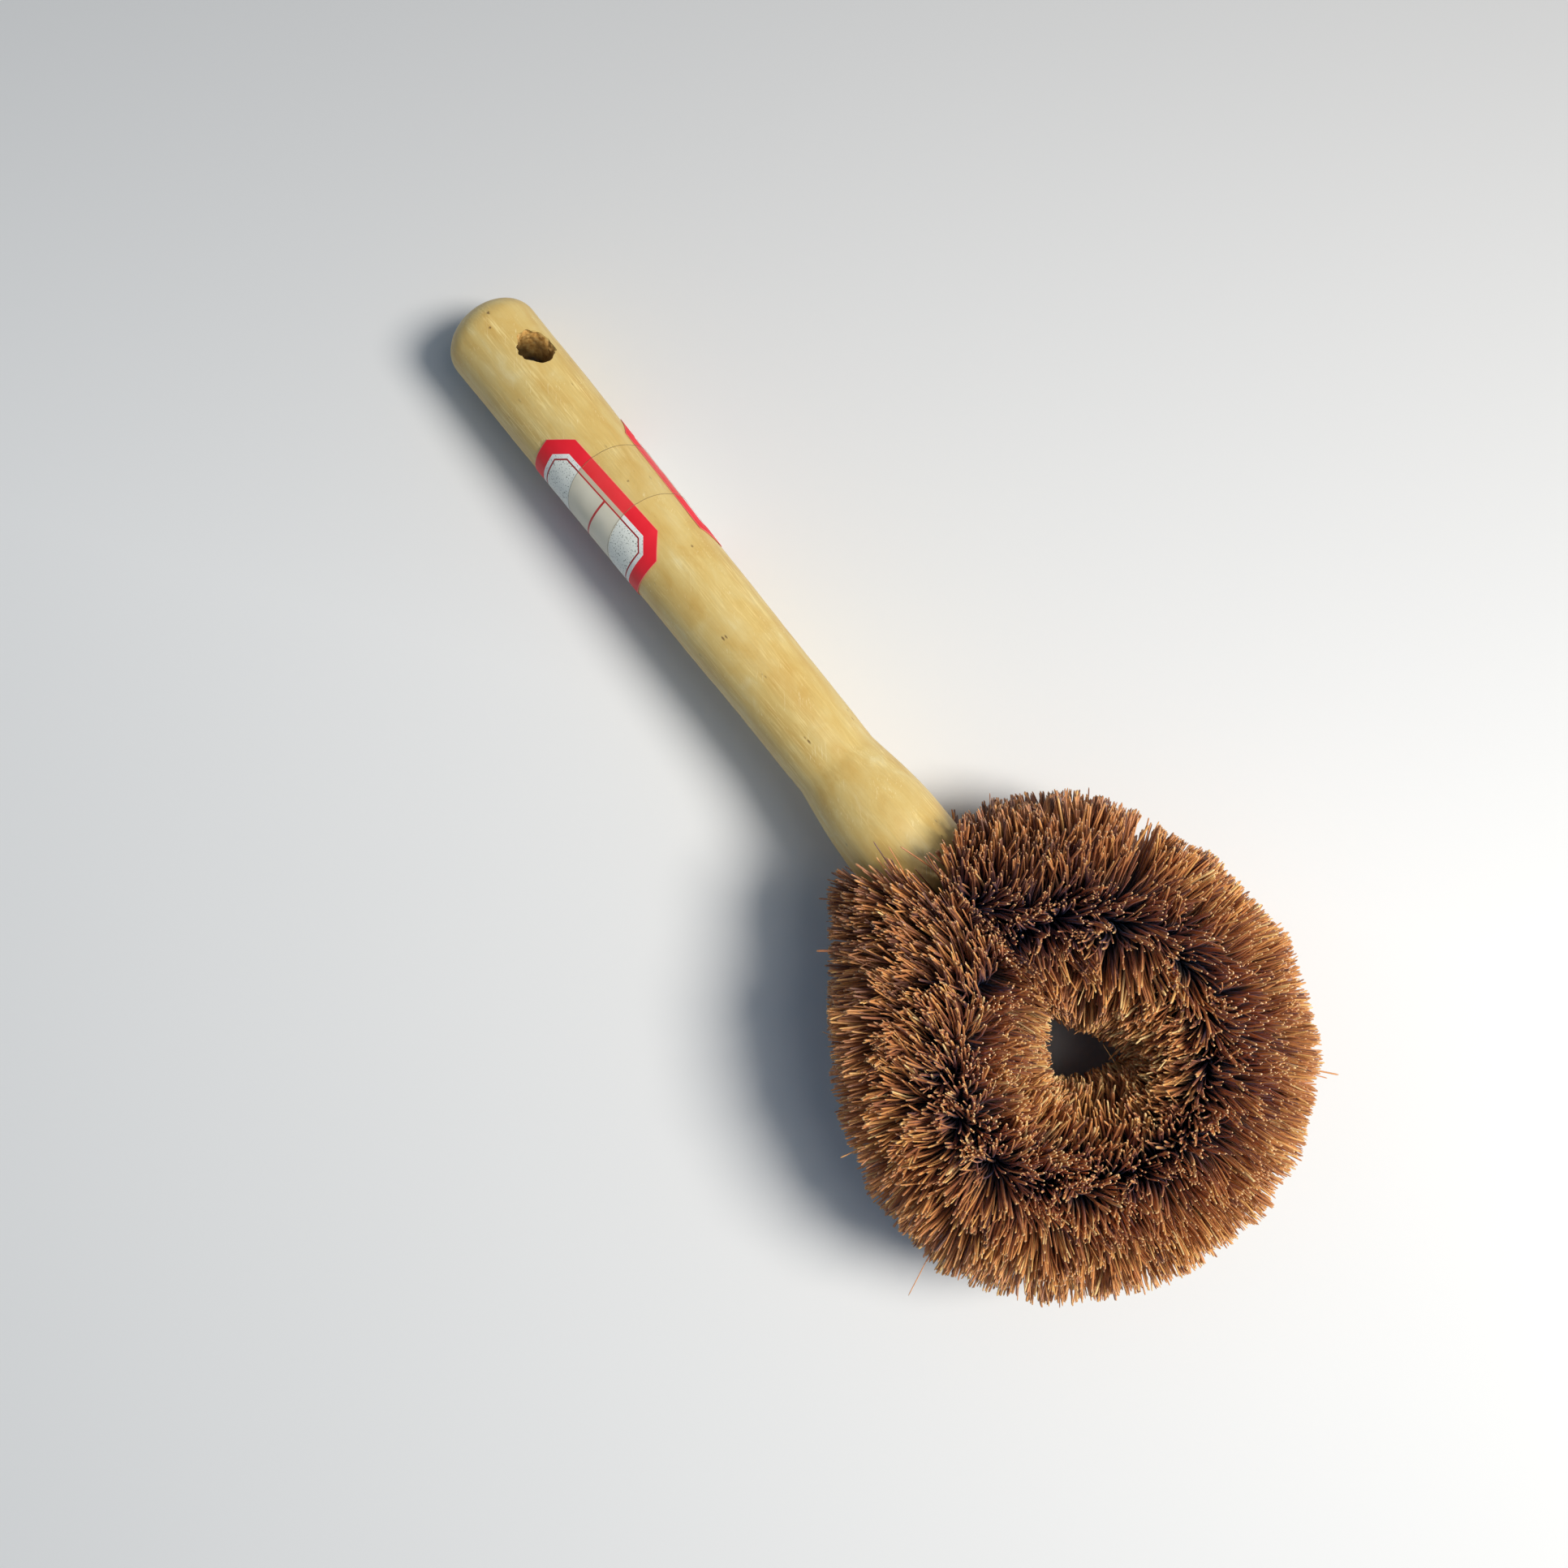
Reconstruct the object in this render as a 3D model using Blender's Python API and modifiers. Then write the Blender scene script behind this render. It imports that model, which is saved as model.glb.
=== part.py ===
"""Pot brush with handle: palm fibre gripped in a twisted wire ring on a turned wooden handle.

The brush lies at rest. World +X runs from the handle's end to the head, +Z is up, and the
origin is under the middle of the brush, on the surface that it lies on. The ring of fibre
lies flat, and the handle slopes down from it until its far end is just clear of the surface.
"""
import math
import random

import bmesh
import bpy
from mathutils import Matrix, Vector

# Fibre ring
ring_radius = 0.0305
bristle_reach = 0.0270
inner_reach = 0.0235
core_radius = 0.0190
foot_cut = 0.0005
slice_count = 22
throat_angle = math.radians(30.0)
slice_gap = 0.00032

# Strands of the fibre ring
strand_half_width = 0.00220
strand_tip_half_width = 0.00120
strand_root_depth = 0.0012
strand_rows = 8
column_share = 0.24
throat_column_share = 0.30
crowding_share = 0.20
reach_jitter = 0.0011
turn_jitter_share = 0.16
throat_clear_over = math.radians(40.0)
throat_clear_under = math.radians(50.0)
jitter_seed = 12

# Twisted wire: two wires wound round each other, bent to a ring with two legs
wire_radius = 0.0008
wire_twist_offset = 0.00104
wire_pitch = 0.0180
points_per_turn = 8
wire_leg_offset = 0.0026
wire_bend_gap = 0.0021
wire_bend_pull = 0.0200
ring_open_angle = math.radians(40.0)
wire_clearance = 0.0004

# Turned handle: lengths along its axis follow one another from the mouth to the domed end
handle_side_offset = 0.0016
throat_length = 0.0161
handle_length = 0.1768
shoulder_length = 0.0094
bulb_length = 0.0060
flare_length = 0.0225
taper_length = 0.0395
dome_depth = 0.0080
mouth_radius = 0.0094
bulb_radius = 0.01280
neck_radius = 0.01038
grip_radius = 0.01080
end_radius = 0.01165
dome_flat_radius = 0.0026
heel_clearance = 0.0001
bulb_clearance = 0.0004
turning_steps = 28
dome_steps = 6
flare_steps = 7
shoulder_steps = 4

# Hanging hole and socket
hole_radius = 0.0044
hole_from_end = 0.0193
hole_roll = math.radians(35.0)
hole_sides = 20
socket_depth = 0.0300
socket_sides = 20

# Paper labels and the clear tape round them, placed from the handle's end
label_length = 0.0388
label_width = 0.0255
label_end_width = 0.0156
label_chamfer = 0.0050
label_thickness = 0.00016
label_left_from_end = 0.0583
label_left_roll = math.radians(-61.6)
label_left_skew = math.radians(3.1)
label_right_from_end = 0.0620
label_right_roll = math.radians(126.8)
label_right_skew = math.radians(-1.0)
label_columns = 18
label_rows = 4
tape_width = 0.0150
tape_from_end = 0.0608
tape_tilt = math.radians(21.0)
tape_thickness = 0.00010
tape_columns = 36
paper_gap = 0.0003

# Shared clearances
cut_overrun = 0.0020
merge_distance = 0.00001

# Places along the handle's axis, from the middle of the ring
mouth_reach = ring_radius + throat_length
shoulder_reach = mouth_reach + shoulder_length
bulb_reach = shoulder_reach + bulb_length
neck_reach = bulb_reach + flare_length
grip_reach = neck_reach + taper_length
handle_reach = mouth_reach + handle_length


def handle_slope():
    """Angle below level at which the handle's end just clears the surface."""
    level_run = handle_reach - dome_depth
    drop = bristle_reach - foot_cut - heel_clearance
    reach = math.hypot(level_run, end_radius)
    return math.asin(drop / reach) - math.atan2(end_radius, level_run)


ring_height = bristle_reach - foot_cut
slope = handle_slope()
ring_x = (handle_reach * math.cos(slope) - ring_radius - bristle_reach) / 2
ring_centre = Vector((ring_x, 0, ring_height))
handle_root = Vector((ring_x, -handle_side_offset, ring_height))
handle_turn = -(math.pi / 2 + slope)
handle_matrix = Matrix.Translation(handle_root) @ Matrix.Rotation(handle_turn, 4, "Y")
wire_outer = wire_twist_offset + wire_radius
socket_radius = wire_leg_offset + wire_outer + wire_clearance
slice_angle = (math.tau - throat_angle) / slice_count


def clear_scene():
    for thing in list(bpy.data.objects):
        bpy.data.objects.remove(thing, do_unlink=True)


def new_collection(name):
    collection = bpy.data.collections.new(name)
    bpy.context.scene.collection.children.link(collection)
    return collection


def new_material(name, colour, roughness, metallic=0.0, alpha=1.0):
    material = bpy.data.materials.new(name)
    material.use_nodes = True
    shader = material.node_tree.nodes["Principled BSDF"]
    shader.inputs["Base Color"].default_value = (*colour, 1.0)
    shader.inputs["Roughness"].default_value = roughness
    shader.inputs["Metallic"].default_value = metallic
    shader.inputs["Alpha"].default_value = alpha
    return material


def fibre_material():
    return new_material("palm_fibre", (0.36, 0.17, 0.06), 0.80)


def wood_material():
    return new_material("pale_wood", (0.70, 0.50, 0.20), 0.55)


def wire_material():
    return new_material("galvanised_wire", (0.55, 0.56, 0.58), 0.35, metallic=1.0)


def paper_material():
    return new_material("label_paper", (0.80, 0.07, 0.06), 0.60)


def tape_material():
    return new_material("clear_tape", (0.90, 0.88, 0.80), 0.20, alpha=0.35)


def add_mesh_object(name, mesh, collection, material=None):
    thing = bpy.data.objects.new(name, mesh)
    collection.objects.link(thing)
    if material:
        thing.data.materials.append(material)
    return thing


def mesh_from_bmesh(name, shape):
    mesh = bpy.data.meshes.new(name)
    shape.to_mesh(mesh)
    shape.free()
    return mesh


def shade_round(thing, crease=math.radians(40.0)):
    thing.data.shade_smooth()
    thing.data.set_sharp_from_angle(angle=crease)


def mark_cutter(thing):
    thing.hide_render = True
    thing.display_type = "WIRE"


def add_boolean(thing, other, operation):
    modifier = thing.modifiers.new(other.name, "BOOLEAN")
    modifier.operation = operation
    modifier.solver = "EXACT"
    modifier.object = other


def curve_to_mesh_object(curve_object, collection, material=None):
    """Turns a curve object into a closed mesh object and removes the curve."""
    bpy.context.view_layer.update()
    evaluated = curve_object.evaluated_get(bpy.context.evaluated_depsgraph_get())
    mesh = bpy.data.meshes.new_from_object(evaluated)
    shape = bmesh.new()
    shape.from_mesh(mesh)
    bmesh.ops.remove_doubles(shape, verts=shape.verts, dist=merge_distance)
    bmesh.ops.recalc_face_normals(shape, faces=shape.faces)
    shape.to_mesh(mesh)
    shape.free()
    mesh.materials.clear()
    name = curve_object.name
    matrix = curve_object.matrix_world.copy()
    bpy.data.objects.remove(curve_object, do_unlink=True)
    thing = add_mesh_object(name, mesh, collection, material)
    thing.matrix_world = matrix
    return thing


def tube_along(name, points, radius, resolution, collection, material=None):
    """Tube with filled caps along a run of points."""
    curve = bpy.data.curves.new(name, "CURVE")
    curve.dimensions = "3D"
    curve.bevel_depth = radius
    curve.bevel_resolution = resolution
    curve.use_fill_caps = True
    spline = curve.splines.new("POLY")
    spline.points.add(len(points) - 1)
    for spline_point, place in zip(spline.points, points):
        spline_point.co = (*place, 1.0)
    thing = bpy.data.objects.new(name, curve)
    collection.objects.link(thing)
    return curve_to_mesh_object(thing, collection, material)


# Fibre ring


def ring_outward(angle):
    return Vector((math.cos(angle), math.sin(angle), 0))


def arc_core(name, centre_angle, sweep, collection, material):
    """Slice of the packed fibre roots: a short arc of round section.

    The arc is moved outwards a little, so that the gap to the next slice is even.
    """
    half_sweep = sweep / 2
    shift = slice_gap / (2 * math.sin(half_sweep))
    arc_centre = ring_centre + ring_outward(centre_angle) * shift
    arc_radius = ring_radius - shift
    pull = math.tan(half_sweep / 2) * arc_radius * 4 / 3
    curve = bpy.data.curves.new(name, "CURVE")
    curve.dimensions = "3D"
    curve.bevel_depth = core_radius
    curve.bevel_resolution = 4
    curve.use_fill_caps = True
    curve.resolution_u = 2
    spline = curve.splines.new("BEZIER")
    spline.bezier_points.add(1)
    for point, side in zip(spline.bezier_points, (-1, 1)):
        angle = centre_angle + side * half_sweep
        place = arc_centre + ring_outward(angle) * arc_radius
        along = ring_outward(angle + math.pi / 2) * pull
        point.handle_left_type = "FREE"
        point.handle_right_type = "FREE"
        point.co = place
        point.handle_left = place - along
        point.handle_right = place + along
    thing = bpy.data.objects.new(name, curve)
    collection.objects.link(thing)
    return curve_to_mesh_object(thing, collection, material)


def strand_reach(turn):
    """Length from the wire to the tip: shorter towards the middle of the ring."""
    return bristle_reach - (bristle_reach - inner_reach) * max(0, -math.cos(turn))


def add_strand(shape, ring_angle, turn, reach):
    """Adds one three-sided strand to a mesh, narrower where the ring crowds it."""
    outward = ring_outward(ring_angle)
    sideways = ring_outward(ring_angle + math.pi / 2)
    direction = outward * math.cos(turn) + Vector((0, 0, math.sin(turn)))
    across = direction.cross(sideways)
    wire_point = ring_centre + outward * ring_radius
    matrix = Matrix.Rotation(math.pi / 2, 4, "Z")
    made = bmesh.ops.create_cone(
        shape, cap_ends=True, segments=3, radius1=1, radius2=1, depth=1, matrix=matrix
    )
    for vertex in made["verts"]:
        at_tip = vertex.co.z > 0
        distance = reach if at_tip else core_radius - strand_root_depth
        half_width = strand_tip_half_width if at_tip else strand_half_width
        axis_distance = ring_radius + distance * math.cos(turn)
        crowded = axis_distance * math.tan(slice_angle * crowding_share)
        side_width = min(half_width, crowded)
        vertex.co = (
            wire_point
            + direction * distance
            + sideways * (vertex.co.x * side_width)
            + across * (vertex.co.y * half_width)
        )


def ring_strands(name, ring_angles, turns_allowed, generator, collection):
    """All strands of one slice as one mesh, in staggered columns."""
    shape = bmesh.new()
    row_angle = math.tau / strand_rows
    for column, ring_angle in enumerate(ring_angles):
        stagger = (column % 2) / 2
        for row in range(strand_rows):
            turn = (row + stagger) * row_angle
            if not turns_allowed(turn):
                continue
            points_down = math.sin(turn) < -math.sin(row_angle)
            shift = generator.uniform(-1, 1) * turn_jitter_share * row_angle
            trim = generator.uniform(0, 1) * reach_jitter
            if points_down:
                shift = 0
                trim = 0
            add_strand(shape, ring_angle, turn + shift, strand_reach(turn) - trim)
    bmesh.ops.recalc_face_normals(shape, faces=shape.faces)
    strands = add_mesh_object(name, mesh_from_bmesh(name, shape), collection)
    mark_cutter(strands)
    return strands


def any_turn(turn):
    return True


def clear_of_handle(turn):
    """True for strands that pass over or under the handle's mouth."""
    limit = throat_clear_over if math.sin(turn) > 0 else throat_clear_under
    return math.cos(turn) < math.cos(limit)


def fibre_slice(name, centre_angle, sweep, columns, turns_allowed, generator, tools, parts):
    """One slice of the ring: packed roots, strands, the wire's bore and the flat foot."""
    core = arc_core(name, centre_angle, sweep, parts, tools["fibre"])
    strands = ring_strands(name + "_strands", columns, turns_allowed, generator, tools["cutters"])
    add_boolean(core, strands, "UNION")
    add_boolean(core, tools["bore"], "DIFFERENCE")
    add_boolean(core, tools["floor"], "DIFFERENCE")
    if abs(abs(centre_angle) - math.pi) < slice_angle + throat_angle / 2:
        add_boolean(core, tools["bulb"], "DIFFERENCE")
    return core


def fibre_ring(tools, parts):
    generator = random.Random(jitter_seed)
    first_angle = -math.pi + throat_angle / 2 + slice_angle / 2
    for index in range(slice_count):
        centre = first_angle + index * slice_angle
        offset = slice_angle * column_share
        columns = (centre - offset, centre + offset)
        name = f"bristles_{index + 1:02d}"
        fibre_slice(name, centre, slice_angle, columns, any_turn, generator, tools, parts)
    offset = throat_angle * throat_column_share
    columns = (math.pi - offset, math.pi, math.pi + offset)
    fibre_slice(
        "bristles_throat", math.pi, throat_angle, columns, clear_of_handle, generator, tools, parts
    )


def floor_cutter(collection):
    """Block under the resting surface that cuts the fibre foot flat."""
    shape = bmesh.new()
    bmesh.ops.create_cube(shape, size=1)
    width = 2 * (ring_radius + bristle_reach + cut_overrun)
    depth = foot_cut + cut_overrun
    bmesh.ops.scale(shape, vec=(width, width, depth), verts=shape.verts)
    bmesh.ops.translate(shape, vec=(ring_x, 0, -depth / 2), verts=shape.verts)
    block = add_mesh_object("floor_cutter", mesh_from_bmesh("floor_cutter", shape), collection)
    mark_cutter(block)
    return block


# Twisted wire


def on_handle(reach, side):
    """Point of the handle's level middle plane, a given way from the ring's middle."""
    return handle_matrix @ Vector((0, side, reach))


def blend(start, start_pull, end, end_pull, share):
    """Point on the smooth bend between two places with given pulls."""
    rest = 1 - share
    first = start + start_pull / 3
    second = end - end_pull / 3
    return (
        start * rest**3
        + first * (3 * rest**2 * share)
        + second * (3 * rest * share**2)
        + end * share**3
    )


def wire_route():
    """Dense route of the twisted pair: leg, bend, ring, bend, leg."""
    steps = 40
    half_open = ring_open_angle / 2
    start_angle = math.pi - half_open
    leg_start = on_handle(mouth_reach + socket_depth - wire_clearance, wire_leg_offset)
    bend_start = on_handle(mouth_reach - wire_bend_gap, wire_leg_offset)
    ring_start = ring_centre + ring_outward(start_angle) * ring_radius
    leg_pull = (bend_start - leg_start).normalized() * wire_bend_pull
    ring_pull = ring_outward(start_angle - math.pi / 2) * wire_bend_pull
    half = [leg_start.lerp(bend_start, index / steps) for index in range(steps)]
    for index in range(steps):
        half.append(blend(bend_start, leg_pull, ring_start, ring_pull, index / steps))
    ring = []
    for index in range(steps * 4 + 1):
        angle = start_angle - (math.tau - ring_open_angle) * index / (steps * 4)
        ring.append(ring_centre + ring_outward(angle) * ring_radius)
    leg_end = on_handle(mouth_reach + socket_depth - wire_clearance, -wire_leg_offset)
    bend_end = on_handle(mouth_reach - wire_bend_gap, -wire_leg_offset)
    ring_end = ring[-1]
    end_pull = ring_outward(math.pi + half_open - math.pi / 2) * wire_bend_pull
    out_pull = (leg_end - bend_end).normalized() * wire_bend_pull
    back = []
    for index in range(1, steps + 1):
        back.append(blend(ring_end, end_pull, bend_end, out_pull, index / steps))
    for index in range(1, steps + 1):
        back.append(bend_end.lerp(leg_end, index / steps))
    return half + ring + back


def even_points(route, count):
    """Points at even distances along a dense route, both ends kept."""
    lengths = [0.0]
    for first, second in zip(route, route[1:]):
        lengths.append(lengths[-1] + (second - first).length)
    points = []
    place = 0
    for index in range(count + 1):
        target = lengths[-1] * index / count
        while place < len(route) - 2 and lengths[place + 1] < target:
            place += 1
        span = lengths[place + 1] - lengths[place]
        points.append(route[place].lerp(route[place + 1], (target - lengths[place]) / span))
    return points, lengths[-1]


def twisted_strand_points(phase):
    """Points of one wire as it winds round the route."""
    route = wire_route()
    length = even_points(route, 1)[1]
    turns = max(1, round(length / wire_pitch))
    count = turns * points_per_turn
    centres = even_points(route, count)[0]
    up = Vector((0, 0, 1))
    points = []
    for index, centre in enumerate(centres):
        before = centres[max(0, index - 1)]
        after = centres[min(count, index + 1)]
        along = (after - before).normalized()
        side = along.cross(up).normalized()
        lift = side.cross(along)
        angle = math.tau * index / points_per_turn + phase
        offset = side * math.cos(angle) + lift * math.sin(angle)
        points.append(centre + offset * wire_twist_offset)
    return points


def twisted_wire(material, parts):
    for name, phase in (("wire_strand_a", 0), ("wire_strand_b", math.pi)):
        wire = tube_along(name, twisted_strand_points(phase), wire_radius, 1, parts, material)
        shade_round(wire)


def wire_bore(collection):
    """Cutter for the way that the twisted wire takes through the fibre."""
    bore_radius = wire_outer + wire_clearance
    route = wire_route()
    length = even_points(route, 1)[1]
    count = math.ceil(length / (2 * bore_radius))
    bore = tube_along("wire_bore", even_points(route, count)[0], bore_radius, 2, collection)
    mark_cutter(bore)
    return bore


# Handle


def shoulder_profile(clearance):
    """Outline of the bulb's rounded mouth, moved out by a clearance."""
    points = []
    for index in range(shoulder_steps + 1):
        angle = math.pi / 2 * index / shoulder_steps
        radius = mouth_radius + (bulb_radius - mouth_radius) * math.cos(angle)
        reach = shoulder_reach + (mouth_reach - shoulder_reach) * math.sin(angle)
        points.append((radius + clearance, reach - clearance * math.sin(angle)))
    points.append((0.0, mouth_reach - clearance))
    return points


def handle_profile():
    """Outline of the handle as radius and reach, from the domed end to the mouth."""
    dome_start = handle_reach - dome_depth
    flat_angle = math.asin(dome_flat_radius / end_radius)
    points = [(0.0, dome_start + dome_depth * math.cos(flat_angle))]
    for index in range(dome_steps + 1):
        angle = flat_angle + (math.pi / 2 - flat_angle) * index / dome_steps
        points.append((end_radius * math.sin(angle), dome_start + dome_depth * math.cos(angle)))
    points.append((grip_radius, grip_reach))
    for index in range(flare_steps + 1):
        share = index / flare_steps
        radius = neck_radius + (bulb_radius - neck_radius) * math.sin(share * math.pi / 2)
        points.append((radius, neck_reach + (bulb_reach - neck_reach) * share))
    return points + shoulder_profile(0)


def handle_radius_at(reach):
    """Radius of the plain grip between the domed end and the neck."""
    dome_start = handle_reach - dome_depth
    share = (reach - grip_reach) / (dome_start - grip_reach)
    return grip_radius + (end_radius - grip_radius) * share


def cutter_cylinder(name, radius, depth, sides, matrix, empty, collection):
    shape = bmesh.new()
    bmesh.ops.create_cone(
        shape, cap_ends=True, segments=sides, radius1=radius, radius2=radius,
        depth=depth, matrix=matrix,
    )
    cutter = add_mesh_object(name, mesh_from_bmesh(name, shape), collection)
    cutter.parent = empty
    mark_cutter(cutter)
    return cutter


def turned_shape(name, profile, empty, collection, material=None):
    """Solid of revolution about the handle's axis."""
    mesh = bpy.data.meshes.new(name)
    points = [(radius, 0.0, reach) for radius, reach in profile]
    edges = [(index, index + 1) for index in range(len(points) - 1)]
    mesh.from_pydata(points, edges, [])
    turned = add_mesh_object(name, mesh, collection, material)
    turned.parent = empty
    screw = turned.modifiers.new("turning", "SCREW")
    screw.axis = "Z"
    screw.steps = turning_steps
    screw.render_steps = turning_steps
    screw.use_merge_vertices = True
    screw.merge_threshold = merge_distance
    screw.use_smooth_shade = True
    return turned


def bulb_cutter(empty, collection):
    """Room for the handle's bulb in the fibre, with a clearance all round."""
    outline = [(0.0, neck_reach), (bulb_radius + bulb_clearance, neck_reach)]
    outline += shoulder_profile(bulb_clearance)
    cutter = turned_shape("bulb_cutter", outline, empty, collection)
    mark_cutter(cutter)
    return cutter


def handle(material, empty, cutters, parts):
    turned = turned_shape("handle", handle_profile(), empty, parts, material)
    through = (
        Matrix.Translation((0, 0, handle_reach - hole_from_end))
        @ Matrix.Rotation(hole_roll, 4, "Z")
        @ Matrix.Rotation(math.pi / 2, 4, "Y")
    )
    hole_length = 2 * (end_radius + cut_overrun)
    hole = cutter_cylinder(
        "hanging_hole", hole_radius, hole_length, hole_sides, through, empty, cutters
    )
    depth = socket_depth + cut_overrun
    inward = Matrix.Translation((0, 0, mouth_reach + socket_depth - depth / 2))
    socket = cutter_cylinder("socket", socket_radius, depth, socket_sides, inward, empty, cutters)
    add_boolean(turned, hole, "DIFFERENCE")
    add_boolean(turned, socket, "DIFFERENCE")
    return turned


# Labels and tape


def wrapped(reach, roll, lift):
    """Point over the grip at a reach and roll, lifted off the wood."""
    radius = handle_radius_at(reach) + lift
    return Vector((radius * math.cos(roll), radius * math.sin(roll), reach))


def wrapped_grid(name, columns, closed, thickness, material, empty, parts):
    """Thin sheet through columns of points, thickened away from the wood."""
    shape = bmesh.new()
    grid = [[shape.verts.new(point) for point in column] for column in columns]
    pairs = list(zip(grid, grid[1:]))
    if closed:
        pairs.append((grid[-1], grid[0]))
    for left, right in pairs:
        for index in range(len(left) - 1):
            shape.faces.new((left[index], right[index], right[index + 1], left[index + 1]))
    sheet = add_mesh_object(name, mesh_from_bmesh(name, shape), parts, material)
    sheet.parent = empty
    solid = sheet.modifiers.new("thickness", "SOLIDIFY")
    solid.thickness = thickness
    solid.offset = 1
    shade_round(sheet)
    return sheet


def label_half_length(across):
    """Half the label's length at a distance across it: its corners are cut off."""
    beyond = max(0, abs(across) - label_end_width / 2)
    slant = label_chamfer / (label_width / 2 - label_end_width / 2)
    return label_length / 2 - beyond * slant


def label_places():
    """Distances across the label, with one on each cut corner."""
    half = label_width / 2
    places = {half * (2 * index / label_columns - 1) for index in range(label_columns + 1)}
    places |= {-label_end_width / 2, label_end_width / 2}
    return sorted(places)


def label(name, from_end, roll, skew, material, empty, parts):
    reach = handle_reach - from_end
    columns = []
    for across in label_places():
        column = []
        for row in range(label_rows + 1):
            along = label_half_length(across) * (2 * row / label_rows - 1)
            turned_along = along * math.cos(skew) + across * math.sin(skew)
            turned_across = across * math.cos(skew) - along * math.sin(skew)
            place = reach + turned_along
            angle = roll + turned_across / handle_radius_at(reach)
            column.append(wrapped(place, angle, paper_gap))
        columns.append(column)
    return wrapped_grid(name, columns, False, label_thickness, material, empty, parts)


def tape(material, empty, parts):
    lift = paper_gap + label_thickness + paper_gap
    reach = handle_reach - tape_from_end
    swing = handle_radius_at(reach) * math.tan(tape_tilt)
    columns = []
    for index in range(tape_columns):
        angle = math.tau * index / tape_columns
        middle = reach + swing * math.cos(angle)
        column = []
        for side in (-1, 0, 1):
            column.append(wrapped(middle + side * tape_width / 2, angle, lift))
        columns.append(column)
    return wrapped_grid("tape_band", columns, True, tape_thickness, material, empty, parts)


def build():
    clear_scene()
    parts = new_collection("pot_brush")
    cutters = new_collection("cutters")
    empty = bpy.data.objects.new("handle_axis", None)
    empty.location = handle_root
    empty.rotation_euler = (0, handle_turn, 0)
    parts.objects.link(empty)
    handle(wood_material(), empty, cutters, parts)
    paper = paper_material()
    for side, from_end, roll, skew in (
        ("left", label_left_from_end, label_left_roll, label_left_skew),
        ("right", label_right_from_end, label_right_roll, label_right_skew),
    ):
        label(f"label_{side}", from_end, roll, skew, paper, empty, parts)
    tape(tape_material(), empty, parts)
    twisted_wire(wire_material(), parts)
    tools = {
        "fibre": fibre_material(),
        "cutters": cutters,
        "bore": wire_bore(cutters),
        "floor": floor_cutter(cutters),
        "bulb": bulb_cutter(empty, cutters),
    }
    fibre_ring(tools, parts)


build()
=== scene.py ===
"""Looks of the pot brush: palm fibre, turned wood, paper labels, clear tape and twisted wire.

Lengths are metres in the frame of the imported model: +X runs from the handle's end to the head,
+Z is up and the brush lies on Z = 0. A reach is a distance from the middle of the fibre ring
along the handle's axis, and a roll is an angle round that axis, from up towards +Y.
"""
from math import asin, atan2, ceil, cos, hypot, pi, radians, sin, sqrt, tan, tau

import bmesh
import bpy
import numpy as np
from mathutils import Matrix, Vector, kdtree

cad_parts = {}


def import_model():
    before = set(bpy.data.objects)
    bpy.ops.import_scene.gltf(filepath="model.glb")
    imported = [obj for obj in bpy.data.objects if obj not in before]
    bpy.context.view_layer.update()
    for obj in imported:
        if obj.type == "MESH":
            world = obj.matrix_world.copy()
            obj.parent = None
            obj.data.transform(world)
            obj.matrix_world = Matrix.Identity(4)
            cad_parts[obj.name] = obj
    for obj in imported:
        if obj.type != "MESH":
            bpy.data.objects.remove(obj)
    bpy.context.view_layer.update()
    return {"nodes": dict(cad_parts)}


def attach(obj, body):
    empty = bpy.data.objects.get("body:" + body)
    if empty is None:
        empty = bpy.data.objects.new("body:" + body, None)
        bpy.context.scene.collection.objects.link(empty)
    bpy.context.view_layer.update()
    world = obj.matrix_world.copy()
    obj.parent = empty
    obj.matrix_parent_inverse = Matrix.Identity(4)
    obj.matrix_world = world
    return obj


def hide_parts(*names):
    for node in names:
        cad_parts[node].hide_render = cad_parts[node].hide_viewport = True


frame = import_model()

# Driving dimensions, the same as in the CAD source
ring_radius = 0.0305
bristle_reach = 0.0270
foot_cut = 0.0005
wire_leg_offset = 0.0026
wire_bend_gap = 0.0021
wire_bend_pull = 0.0200
handle_side_offset = 0.0016
throat_length = 0.0161
handle_length = 0.1768
shoulder_length = 0.0094
bulb_length = 0.0060
flare_length = 0.0225
taper_length = 0.0395
dome_depth = 0.0080
mouth_radius = 0.0094
bulb_radius = 0.01280
neck_radius = 0.01038
grip_radius = 0.01080
end_radius = 0.01165
dome_flat_radius = 0.0026
heel_clearance = 0.0001
socket_radius = 0.00484
socket_depth = 0.0300
hole_radius = 0.0044
hole_from_end = 0.0193
hole_roll = radians(35.0)
label_length = 0.0388
label_width = 0.0255
label_end_width = 0.0156
label_chamfer = 0.0050
label_thickness = 0.00016
label_places = {  # distance from the handle's end, roll and skew
    "left": (0.0583, radians(-61.6), radians(3.1)),
    "right": (0.0620, radians(126.8), radians(-1.0)),
}
tape_width = 0.0150
tape_from_end = 0.0608
tape_tilt = radians(21.0)

# Paper and film: slant of a label's corners, the paper's lift off the wood, the film's thickness
# and lift off the paper, and the width of the slope between paper and wood
label_slant = label_chamfer / (label_width / 2 - label_end_width / 2)
label_lift = 0.00006
film_thickness = 0.00005
film_over_label = 0.00012
film_slope = 0.0010

# Unevenness, as pairs of wavelength and height
wood_waves = ((0.022, 0.00005), (0.006, 0.000015))
hole_waves = ((0.0050, 0.00014), (0.0016, 0.00004))
label_waves = ((0.0045, 0.00002),)

# Fineness of the meshes, and the angles from which their edges are sharp
handle_sides = 96
hole_sides = 72
hole_steps = 56
label_columns = 61
label_rows = 81
tape_columns = 41
tape_sides = 160
wood_crease = radians(38)
sheet_crease = radians(40)

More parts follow.
